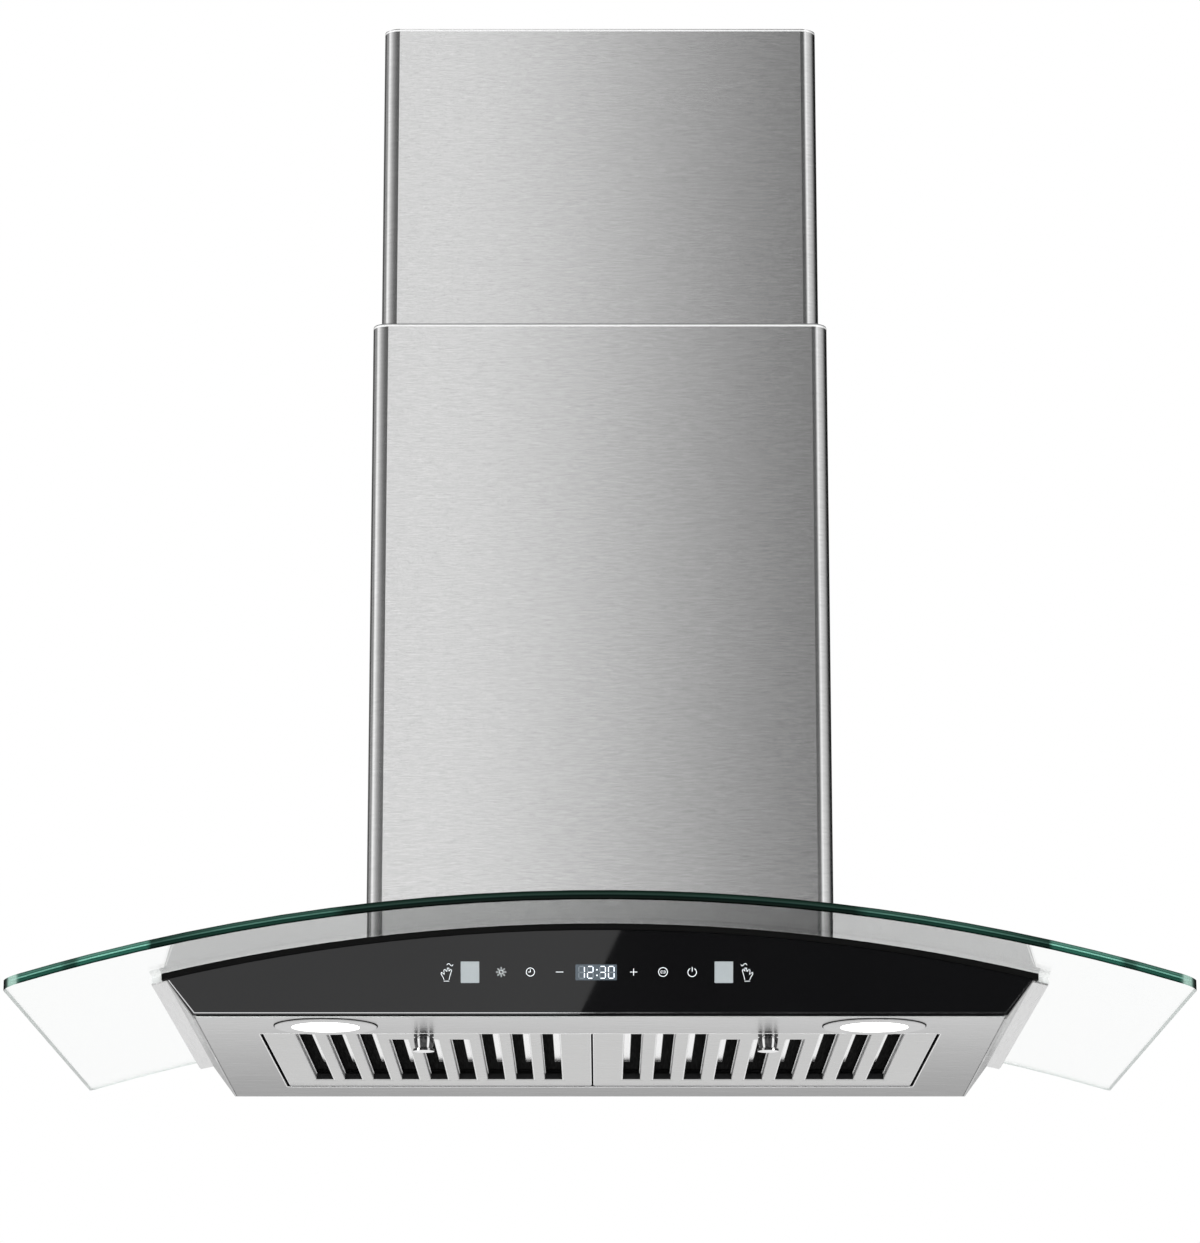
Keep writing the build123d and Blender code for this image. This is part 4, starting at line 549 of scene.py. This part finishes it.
# Places of the slots across each filter, and the baffles over them
slot_rows = {}
for side_name, outward in (("left", -1), ("right", 1)):
    low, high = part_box(side_name + "_filter_frame")
    first_slot = low[0] + SLOT_MARGIN
    pitch = (high[0] - low[0] - 2 * SLOT_MARGIN) / (SLOT_COUNT - 1)
    slot_rows[side_name] = [first_slot + index * pitch for index in range(SLOT_COUNT)]
    finish_of[side_name + "_upper_baffles"] = baffle_material(
        side_name + "_baffle_steel", first_slot, pitch, outward, high[1] - BAFFLE_SHADE
    )

for name, held in nodes.items():
    held.data.materials.clear()
    held.data.materials.append(finish_of.get(name, inner_steel))

# Inside faces of the filters and of the underside plate stay in shade
SHADED, LIP = 1, 2
for side_name, row_places in slot_rows.items():
    low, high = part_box(side_name + "_filter_frame")
    pan = nodes[side_name + "_filter_frame"].data
    pan.materials.append(shaded_steel)
    pan.materials.append(lip_steel)
    middle_y = (low[1] + high[1]) / 2
    for face in pan.polygons:
        centre = face.center
        nearest = min(row_places, key=lambda place: abs(place - centre.x))
        inward = Vector((nearest - centre.x, middle_y - centre.y, 0.0))
        inset = min(centre.x - low[0], high[0] - centre.x, centre.y - low[1], high[1] - centre.y)
        under = centre.z < low[2] + SLOT_LIP and inset >= PAN_SKIN
        lining = (
            abs(nearest - centre.x) < SLOT_HALF and abs(face.normal.x) > UPRIGHT
            and centre.z < low[2] + SLOT_RIM and face.normal.dot(inward) > 0
        )
        if lining:
            face.material_index = LIP
        elif not under:
            face.material_index = SHADED

# The knobs' upright faces get shallow grooves and painted reflections: dark chrome with bright stripes
for side_name in ("left", "right"):
    low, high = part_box(side_name + "_filter_knob")
    centre = ((low[0] + high[0]) / 2, (low[1] + high[1]) / 2)
    knob = nodes[side_name + "_filter_knob"].data
    knob.materials.append(fluted_glint_material(side_name + "_knob_chrome", centre))
    for face in knob.polygons:
        if abs(face.normal.z) < KNOB_SIDE:
            face.material_index = 1

# The plate's outer front edge is bright, its other outer edges are as its face, and the rest is shaded
tray_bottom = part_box("underside_plate")[0][2]
plate_low, plate_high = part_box("underside_plate")
plate = nodes["underside_plate"].data
plate.materials.append(shaded_steel)
plate.materials.append(lip_steel)
for face in plate.polygons:
    centre = face.center
    inset = min(
        centre.x - plate_low[0], plate_high[0] - centre.x,
        centre.y - plate_low[1], plate_high[1] - centre.y,
    )
    if abs(face.normal.z) < UPRIGHT and inset < PLATE_SKIN:
        face.material_index = LIP if face.normal.y < FACING_FRONT else 0
    elif face.normal.z > -UPRIGHT or centre.z > tray_bottom + PLATE_SKIN:
        face.material_index = SHADED

# The canopy's edge faces lie across the arch's radius: polished in front, pale at the sides and rear
POLISHED, PALE = 1, 2
canopy = nodes["glass_canopy"].data
canopy.materials.append(glass_edge)
canopy.materials.append(glass_rim)
for face in canopy.polygons:
    outward = Vector((face.center.x, 0.0, face.center.z - ARCH_AXIS)).normalized()
    if abs(face.normal.dot(outward)) < CANOPY_EDGE:
        face.material_index = POLISHED if face.normal.y < EDGE_FRONT else PALE


# Mesh building for the panel's marks
panel_up = Vector((0.0, -sin(PANEL_LEAN), cos(PANEL_LEAN)))
panel_out = Vector((0.0, -cos(PANEL_LEAN), -sin(PANEL_LEAN)))
panel_front = max(
    (vertex.co - TRAY_FOOT).dot(panel_out) for vertex in nodes["control_panel_glass"].data.vertices
)


def on_panel(across, up, lift):
    """A point over the panel's front face, from sizes in millimetres and a lift in metres."""
    place = TRAY_FOOT + Vector((across, 0.0, 0.0)) * MILLIMETRE
    return place + panel_up * up * MILLIMETRE + panel_out * (panel_front + lift)


def stroke(mesh, points, width, closed=False, lift=SURFACE_LIFT):
    """A flat printed line along points on the panel, with a thin skirt down to the glass.

    At a sharp bend it grows to twice its width at most.
    """
    count = len(points)
    rails = []
    for index, (across, up) in enumerate(points):
        before = points[index - 1] if index or closed else points[index]
        after = points[(index + 1) % count] if index < count - 1 or closed else points[index]
        into = Vector((across - before[0], up - before[1]))
        out = Vector((after[0] - across, after[1] - up))
        heading = (into.normalized() + out.normalized()).normalized()
        straight = out.normalized() if out.length else into.normalized()
        reach = width / 2 / max(0.5, heading.dot(straight))
        normal = Vector((-heading.y, heading.x)) * reach
        row = []
        for side in (-1, 1):
            for height in (0.0, lift):
                row.append(mesh.verts.new(on_panel(across + side * normal.x, up + side * normal.y, height)))
        rails.append(row)
    spans = count if closed else count - 1
    for index in range(spans):
        first = rails[index]
        second = rails[(index + 1) % count]
        mesh.faces.new((first[1], first[3], second[3], second[1]))
        mesh.faces.new((first[0], first[1], second[1], second[0]))
        mesh.faces.new((first[3], first[2], second[2], second[3]))


def arc(centre, radius, start, end, steps):
    """Points on an arc, from angles in degrees."""
    turns = [radians(start + (end - start) * step / steps) for step in range(steps + 1)]
    return [(centre[0] + radius * cos(turn), centre[1] + radius * sin(turn)) for turn in turns]


def finish_piece(mesh, name, material, body):
    """Turn a bmesh into a piece that rides on a body."""
    bmesh.ops.recalc_face_normals(mesh, faces=mesh.faces)
    data = bpy.data.meshes.new(name)
    mesh.to_mesh(data)
    mesh.free()
    data.materials.append(material)
    piece = bpy.data.objects.new(name, data)
    scene.collection.objects.link(piece)
    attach(piece, body)


def patch(mesh, left, right, low, high, corner=0.6):
    """A flat rounded rectangle over the panel."""
    outline = []
    for centre_x, centre_y, start in (
        (right - corner, high - corner, 0), (left + corner, high - corner, 90),
        (left + corner, low + corner, 180), (right - corner, low + corner, 270),
    ):
        outline += arc((centre_x, centre_y), corner, start, start + 90, 5)
    top = [mesh.verts.new(on_panel(across, up, SURFACE_LIFT)) for across, up in outline]
    foot = [mesh.verts.new(on_panel(across, up, 0.0)) for across, up in outline]
    mesh.faces.new(top)
    for index in range(len(top)):
        after = (index + 1) % len(top)
        mesh.faces.new((top[index], foot[index], foot[after], top[after]))


# Sizes on the panel, in millimetres across it and up it, and the widths of its printed lines
row = ICON_ROW * 1000
icon_line = 0.32
hand_line = 0.26
digit_line = 0.62
colon_line = 0.9
bevel_highlight_width = 0.6
lamp_middle, clock_middle, minus_middle = -64.0, -45.1, -26.2
plus_middle, ring_middle, power_middle = 21.8, 40.8, 59.7
lamp_radius, clock_radius, ring_radius, lobe_radius, power_radius = 1.3, 2.7, 2.9, 0.75, 2.8
lamp_rays, minus_half, plus_half = (2.0, 3.3), 2.4, 2.3
hand_places = ((-99.4, 1), (95.4, -1))
sensor_middles, sensor_half = (-84.2, 80.2), 6.0
colon_rises = (1.9, 5.6)
HAND = (
    ((-1.6, -5.2), (-2.2, -3.6), (-3.6, -1.2), (-3.3, -0.2), (-2.2, -0.9), (-1.4, -1.6), (-1.8, 1.2),
     (-1.0, 1.7), (0.2, 0.3), (0.6, 2.6), (1.6, 2.6), (1.6, 0.6), (2.8, 1.8), (3.3, 1.0), (2.2, -2.6),
     (1.6, -5.2)),
    ((-1.8, -6.0), (1.8, -6.0)),
    ((0.2, 4.6), (1.0, 5.6), (2.0, 5.4), (2.6, 4.4), (3.6, 4.0), (4.2, 4.9)),
)

# Panel marks: a hand by each sensor, then lamp, clock, minus, plus, speed ring and power
marks = bmesh.new()
for middle, turn in hand_places:
    for points in HAND:
        stroke(marks, [(middle + turn * across, row + up) for across, up in points], hand_line)
stroke(marks, arc((lamp_middle, row), lamp_radius, 0, 342, 19), 0.28, closed=True)
for index in range(8):
    turn = index * 45
    stroke(marks, [arc((lamp_middle, row), radius, turn, turn, 1)[0] for radius in lamp_rays], 0.24)
stroke(marks, arc((clock_middle, row), clock_radius, 0, 345, 23), icon_line, closed=True)
stroke(marks, [(clock_middle, row + 1.8), (clock_middle, row), (clock_middle - 1.4, row)], 0.3)
stroke(marks, [(minus_middle - minus_half, row), (minus_middle + minus_half, row)], icon_line)
stroke(marks, [(plus_middle - plus_half, row), (plus_middle + plus_half, row)], icon_line)
stroke(marks, [(plus_middle, row - plus_half), (plus_middle, row + plus_half)], icon_line)
stroke(marks, arc((ring_middle, row), ring_radius, 0, 345, 23), icon_line, closed=True)
stroke(marks, arc((ring_middle - lobe_radius, row), lobe_radius, 45, 315, 12), icon_line * 0.8)
stroke(marks, arc((ring_middle + lobe_radius, row), lobe_radius, -135, 135, 12), icon_line * 0.8)
stroke(marks, arc((power_middle, row - 0.2), power_radius, 120, 420, 22), icon_line)
stroke(marks, [(power_middle, row + 0.2), (power_middle, row + 3.2)], icon_line)
finish_piece(marks, "panel_marks", mark_white, "hood")

# Sensor fronts and clock display
fronts = bmesh.new()
for middle in sensor_middles:
    patch(fronts, middle - sensor_half, middle + sensor_half, row - 7.2, row + 6.9, corner=0.3)
finish_piece(fronts, "sensor_windows", sensor_front, "hood")

window = bmesh.new()
patch(window, -15.9, 10.9, row - 5.4, row + 5.0)
finish_piece(window, "display_window", display_back, "hood")

# Seven segments, as ends of strokes in a unit cell, and the segments of each digit shown
SEGMENTS = {
    "a": ((0, 2), (1, 2)), "b": ((1, 2), (1, 1)), "c": ((1, 1), (1, 0)), "d": ((0, 0), (1, 0)),
    "e": ((0, 1), (0, 0)), "f": ((0, 2), (0, 1)), "g": ((0, 1), (1, 1)),
}
DIGITS = (("bc", -13.7), ("abged", -8.1), ("abgcd", -0.1), ("abcdef", 5.5))
cell_width, cell_height, cell_foot, segment_gap = 3.6, 3.9, 26.1, 0.42
lit, dim = bmesh.new(), bmesh.new()
for shown, left in DIGITS:
    for name, ends in SEGMENTS.items():
        (x_start, y_start), (x_end, y_end) = ends
        start = Vector((left + x_start * cell_width, cell_foot + y_start * cell_height))
        end = Vector((left + x_end * cell_width, cell_foot + y_end * cell_height))
        trim = (end - start).normalized() * segment_gap
        line = [tuple(start + trim), tuple(end - trim)]
        stroke(lit if name in shown else dim, line, digit_line, lift=2 * SURFACE_LIFT)
for up in colon_rises:
    colon = [(-2.45, cell_foot + up), (-1.55, cell_foot + up)]
    stroke(lit, colon, colon_line, lift=2 * SURFACE_LIFT)
finish_piece(lit, "display_digits", digit_lit, "hood")
finish_piece(dim, "display_unlit", digit_dim, "hood")

# Painted highlight of the glass's bevelled edge: a chrome line set in from the panel's ends and foot
trim = bmesh.new()
offsets = [vertex.co - TRAY_FOOT for vertex in nodes["control_panel_glass"].data.vertices]
corners = [
    (offset.x * 1000, offset.dot(panel_up) * 1000)
    for offset in offsets
    if offset.dot(panel_out) > panel_front - SURFACE_LIFT
]
foot_level = min(up for across, up in corners)
foot_half = max(across for across, up in corners if up < foot_level + 0.1)
end_half, end_level = max(corners)
inset, drop = 1.4, 0.6
stroke(
    trim,
    [(-end_half + inset, end_level - drop), (-foot_half + inset, foot_level + inset),
     (foot_half - inset, foot_level + inset), (end_half - inset, end_level - drop)],
    bevel_highlight_width,
)
finish_piece(trim, "panel_bevel_highlight", chrome, "hood")


def boundary_loops(name, level):
    """Corner points of each outline of a node's flat underside at one level."""
    shape = bmesh.new()
    shape.from_mesh(nodes[name].data)
    bmesh.ops.remove_doubles(shape, verts=shape.verts, dist=1e-6)
    beyond = {}
    for edge in shape.edges:
        if any(abs(vertex.co.z - level) > LEVEL_SKIN for vertex in edge.verts):
            continue
        flat = [face for face in edge.link_faces if face.normal.z < FACING_DOWN]
        if len(flat) == 1:
            first, second = edge.verts
            beyond.setdefault(first.index, []).append(second.index)
            beyond.setdefault(second.index, []).append(first.index)
    places = {vertex.index: vertex.co.copy() for vertex in shape.verts}
    shape.free()
    loops = []
    while beyond:
        start = next(iter(beyond))
        loop, here, before = [], start, None
        while here in beyond:
            loop.append(places[here])
            onward = [item for item in beyond.pop(here) if item != before and item in beyond]
            before = here
            here = onward[0] if onward else None
        loops.append(loop)
    return loops


def bridge(mesh, rings, closed=True):
    """Join rings of corners in their order; an open row is capped at both ends."""
    pairs = list(zip(rings, rings[1:]))
    if closed:
        pairs.append((rings[-1], rings[0]))
    for first, second in pairs:
        for corner in range(len(first)):
            beyond = (corner + 1) % len(first)
            mesh.faces.new((first[corner], first[beyond], second[beyond], second[corner]))
    if not closed:
        mesh.faces.new(rings[0])
        mesh.faces.new(rings[-1])


def bead(mesh, points, radius):
    """A thin closed roll along a loop of points, a little above them."""
    rings = []
    for index, point in enumerate(points):
        heading = (points[(index + 1) % len(points)] - points[index - 1]).normalized()
        side = Vector((-heading.y, heading.x, 0.0))
        rings.append([
            mesh.verts.new(
                point + side * radius * cos(turn) + Vector((0.0, 0.0, radius * sin(turn) + ROLL_RISE))
            )
            for turn in ROUND_TURNS
        ])
    bridge(mesh, rings)


# Rolled edges: chrome round the filters, and round the filter opening pale steel whose colour is a painted
# highlight
filter_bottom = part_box("left_filter_frame")[0][2]
for side in ("left", "right"):
    frame_name = side + "_filter_frame"
    rolls = bmesh.new()
    for loop in boundary_loops(frame_name, filter_bottom):
        width = max(point.x for point in loop) - min(point.x for point in loop)
        if width > FRAME_WIDTH_OVER:
            bead(rolls, loop, FILTER_ROLL)
    finish_piece(rolls, side + "_filter_edges", chrome, side + "_filter")
rolls = bmesh.new()
for loop in boundary_loops("underside_plate", tray_bottom):
    reach = max(abs(point.x) for point in loop)
    if OPENING_REACH[0] < reach < OPENING_REACH[1]:
        bead(rolls, loop, OPENING_ROLL)
finish_piece(rolls, "opening_edge", highlight_steel, "hood")


def slot_bar(mesh, across, front, rear, level, radius):
    """A thin round bar along a slot."""
    rows = [
        [
            mesh.verts.new((across + radius * cos(turn), spot, level + radius * sin(turn)))
            for turn in ROUND_TURNS
        ]
        for spot in (front, rear)
    ]
    bridge(mesh, rows, closed=False)


# Painted highlights in the filter slots, as pale bars: one along the inner side's foot, one along the outer
# wall's top
for side, outward in (("left", -1), ("right", 1)):
    pan = nodes[side + "_filter_frame"].data
    edges = bmesh.new()
    for place in slot_rows[side]:
        wall = [
            vertex.co.y for vertex in pan.vertices
            if abs(abs(vertex.co.x - place) - SLOT_WALL) < WALL_SKIN
            and vertex.co.z > filter_bottom + SLOT_RIM / 2
        ]
        front, rear = min(wall) + BAR_INSET, max(wall) - BAR_INSET
        inner_side = place - outward * (SLOT_WALL + FOOT_BAR_OUT)
        outer_side = place + outward * (SLOT_WALL - TOP_BAR_IN)
        slot_bar(edges, inner_side, front, rear, filter_bottom + FOOT_BAR_RISE, FOOT_BAR)
        slot_bar(edges, outer_side, front, rear, filter_bottom + SLOT_RIM - TOP_BAR_DROP, TOP_BAR)
    finish_piece(edges, side + "_slot_edge_highlights", highlight_steel, side + "_filter")


def rim_strip(name, chimney, inner, outer, low, high, material, body):
    """A thin strip round three sides of a chimney, from offsets to its outer face and its top."""
    box_low, box_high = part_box(chimney)
    half = box_high[0]
    top = box_high[2]
    bend = half - CHIMNEY_CORNER
    front = box_low[1] + CHIMNEY_CORNER
    spots = [(Vector((-half, 0.0)), Vector((-1.0, 0.0)))]
    for side, start in ((-1, 180), (1, 270)):
        for step in range(CORNER_STEPS + 1):
            angle = radians(start + step * 90 / CORNER_STEPS)
            heading = Vector((cos(angle), sin(angle)))
            spots.append((Vector((side * bend, front)) + heading * CHIMNEY_CORNER, heading))
    spots.append((Vector((half, 0.0)), Vector((1.0, 0.0))))
    spots[0][0].y = spots[-1][0].y = box_high[1] - 0.001
    strip = bmesh.new()
    loops = [
        [
            strip.verts.new((*(spot + heading * offset), top + level))
            for offset, level in ((inner, low), (outer, low), (outer, high), (inner, high))
        ]
        for spot, heading in spots
    ]
    bridge(strip, loops, closed=False)
    finish_piece(strip, name, material, body)


# Painted highlights as bright strips at the tops of both chimneys, and painted shade as a grey strip behind
# the lower one's rim
rim_strip("lower_chimney_rim_highlight", "lower_chimney", -0.0003, 0.00008, -0.0013, 0.00004, highlight_steel, "hood")
rim_strip("lower_chimney_shadow_strip", "lower_chimney", -0.0009, -0.0003, -0.0003, 0.0009, inner_steel, "hood")
rim_strip(
    "upper_chimney_rim_highlight", "upper_chimney", -0.0003, 0.00008, -0.0018, -0.0006, highlight_steel, "upper_chimney"
)


def ring(mesh, centre, inner, outer, low, high):
    """A square section ring about a vertical axis."""
    loops = []
    for index in range(RING_STEPS):
        turn = 2 * pi * index / RING_STEPS
        loops.append([
            mesh.verts.new((centre[0] + radius * cos(turn), centre[1] + radius * sin(turn), level))
            for radius, level in ((inner, low), (outer, low), (outer, high), (inner, high))
        ])
    bridge(mesh, loops)


# Lamps: painted shadow round each bezel, as a thin black ring at its foot
for name in ("left", "right"):
    low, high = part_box(name + "_lamp_bezel")
    middle = ((low[0] + high[0]) / 2, (low[1] + high[1]) / 2)
    rim = (high[0] - low[0]) / 2
    foot = bmesh.new()
    ring(
        foot, middle, rim + BEZEL_SHADOW_GAP, rim + BEZEL_SHADOW_WIDTH,
        tray_bottom - BEZEL_SHADOW_DEPTH, tray_bottom - BEZEL_SHADOW_SUNK,
    )
    finish_piece(foot, name + "_bezel_shadow_ring", black_rubber, "hood")


# Studio: the floor, a dark card that only mirrors see, lamps, world and camera
def light_path_material(name, colour, shown, glow, haze=0.0):
    """Diffuse colour that mirrors and glass see as a set brightness, and the camera through some haze."""
    made = bpy.data.materials.new(name)
    made.use_nodes = True
    tree = made.node_tree
    tree.nodes.remove(tree.nodes["Principled BSDF"])
    surface = tree.nodes.new("ShaderNodeBsdfDiffuse")
    set_inputs(surface, Color=rgba(colour))
    light = tree.nodes.new("ShaderNodeEmission")
    set_inputs(light, Color=rgba(shown), Strength=glow)
    rays = tree.nodes.new("ShaderNodeLightPath")
    seen = maths(tree, "MAXIMUM", rays.outputs["Is Glossy Ray"], rays.outputs["Is Transmission Ray"])
    seen = maths(tree, "MAXIMUM", seen, maths(tree, "MULTIPLY", rays.outputs["Is Camera Ray"], haze))
    both = mixed_shaders(tree, seen, surface.outputs["BSDF"], light.outputs["Emission"])
    tree.links.new(both, tree.nodes["Material Output"].inputs["Surface"])
    return made


def stage_sheet(name, corners, material):
    """A flat sheet of the studio."""
    data = bpy.data.meshes.new(name)
    data.from_pydata(corners, [], [tuple(range(len(corners)))])
    data.materials.append(material)
    sheet = bpy.data.objects.new(name, data)
    scene.collection.objects.link(sheet)
    return sheet


floor_finish = light_path_material("studio_floor", (0.86, 0.86, 0.86), (1.0, 1.0, 1.0), 0.95, haze=0.6)
stage_sheet(
    "studio_floor",
    [(-FLOOR_REACH, -FLOOR_REACH, FLOOR_LEVEL), (FLOOR_REACH, -FLOOR_REACH, FLOOR_LEVEL),
     (FLOOR_REACH, FLOOR_REACH, FLOOR_LEVEL), (-FLOOR_REACH, FLOOR_REACH, FLOOR_LEVEL)],
    floor_finish,
)
dark_card = light_path_material("dark_card", (0.02, 0.02, 0.02), (1.0, 1.0, 1.0), 0.03)
card = stage_sheet(
    "panel_card",
    [(*CARD_NEAR, CARD_LEVEL), (CARD_RIGHT, CARD_NEAR[1], CARD_LEVEL),
     (CARD_RIGHT, CARD_FAR[1], CARD_LEVEL), (*CARD_FAR, CARD_LEVEL)],
    dark_card,
)
card.visible_camera = False
card.visible_diffuse = False
card.visible_shadow = False
card.visible_transmission = False


def area_lamp(name, place, target, size, power):
    """A round lamp that lights from a place towards a target, unseen by mirrors."""
    data = bpy.data.lights.new(name, "AREA")
    data.shape = "DISK"
    data.size = size
    data.energy = power
    lamp = bpy.data.objects.new(name, data)
    lamp.location = place
    aim = Vector(target) - Vector(place)
    lamp.rotation_euler = aim.to_track_quat("-Z", "Y").to_euler()
    lamp.visible_glossy = False
    scene.collection.objects.link(lamp)


area_lamp("key_lamp", (-2.0, -2.6, 1.6), (0.0, -0.2, 0.0), 1.8, 60.0)
area_lamp("fill_lamp", (2.2, -2.4, 0.6), (0.0, -0.2, -0.1), 1.8, 25.0)
area_lamp("low_lamp", (0.0, -2.0, -0.7), (0.0, -0.3, -0.2), 1.4, 12.0)

# World: white to the camera and through glass, soft to matt surfaces, and banded to mirrors. Each
# band is (degrees, brightness): 0 lies straight in front, negative to the left
BANDS = (
    (-180, 0.5), (-165, 0.35), (-146, 0.1), (-127, 0.1), (-114, 0.5), (-102, 0.26), (-92, 0.95),
    (-82, 1.45), (-64, 0.85), (-56, 0.64), (-48, 0.46), (-30, 0.22), (-17, 0.13), (-6.4, 0.15),
    (-3.9, 1.38), (-1.1, 1.09), (0, 0.795), (1.5, 0.41), (2.7, 0.275), (3.5, 0.1), (23, 0.13),
    (30, 0.3), (36, 1.0), (44, 1.4), (52, 1.05), (72, 0.8), (91, 0.52), (101, 0.3), (112, 0.08),
    (122, 0.01), (152, 0.01), (180, 0.5),
)
BANDS_FOOT = -0.02
world = bpy.data.worlds.new("studio_world")
world.use_nodes = True
scene.world = world
sky = world.node_tree
soft = sky.nodes["Background"]
set_inputs(soft, Color=rgba((1.0, 1.0, 1.0)), Strength=0.55)
white = sky.nodes.new("ShaderNodeBackground")
set_inputs(white, Color=rgba((1.0, 1.0, 1.0)), Strength=1.0)
banded = sky.nodes.new("ShaderNodeBackground")
set_inputs(banded, Strength=1.0)
rays = sky.nodes.new("ShaderNodeLightPath")
direction = sky.nodes.new("ShaderNodeTexCoord")
parts = sky.nodes.new("ShaderNodeSeparateXYZ")
sky.links.new(direction.outputs["Generated"], parts.inputs["Vector"])
turn = maths(sky, "ARCTAN2", parts.outputs["X"], maths(sky, "MULTIPLY", parts.outputs["Y"], -1.0))
share = maths(sky, "MULTIPLY_ADD", turn, 1 / (2 * pi), 0.5)
tone = grey_ramp(sky, share, [(angle / 360 + 0.5, level) for angle, level in BANDS])
upward = maths(sky, "GREATER_THAN", parts.outputs["Z"], BANDS_FOOT)
sky.links.new(mixed(sky, upward, (1.0, 1.0, 1.0), tone), banded.inputs["Color"])
seen = maths(sky, "MAXIMUM", rays.outputs["Is Camera Ray"], rays.outputs["Is Transmission Ray"])
mirrored = maths(sky, "SUBTRACT", rays.outputs["Is Glossy Ray"], rays.outputs["Is Transmission Ray"])
unmirrored = mixed_shaders(sky, seen, soft.outputs["Background"], white.outputs["Background"])
surrounding = mixed_shaders(sky, mirrored, unmirrored, banded.outputs["Background"])
sky.links.new(surrounding, sky.nodes["World Output"].inputs["Surface"])

lens = bpy.data.cameras.new("photo_camera")
lens.sensor_fit = "AUTO"
lens.sensor_width = CAMERA_SENSOR
lens.lens = CAMERA_LENS
lens.shift_y = CAMERA_SHIFT
lens.clip_end = CAMERA_REACH
camera = bpy.data.objects.new("photo_camera", lens)
camera.location = CAMERA_PLACE
camera.rotation_euler = (pi / 2 + radians(CAMERA_PITCH), 0.0, 0.0)
scene.collection.objects.link(camera)
scene.camera = camera
scene.view_settings.view_transform = "Standard"
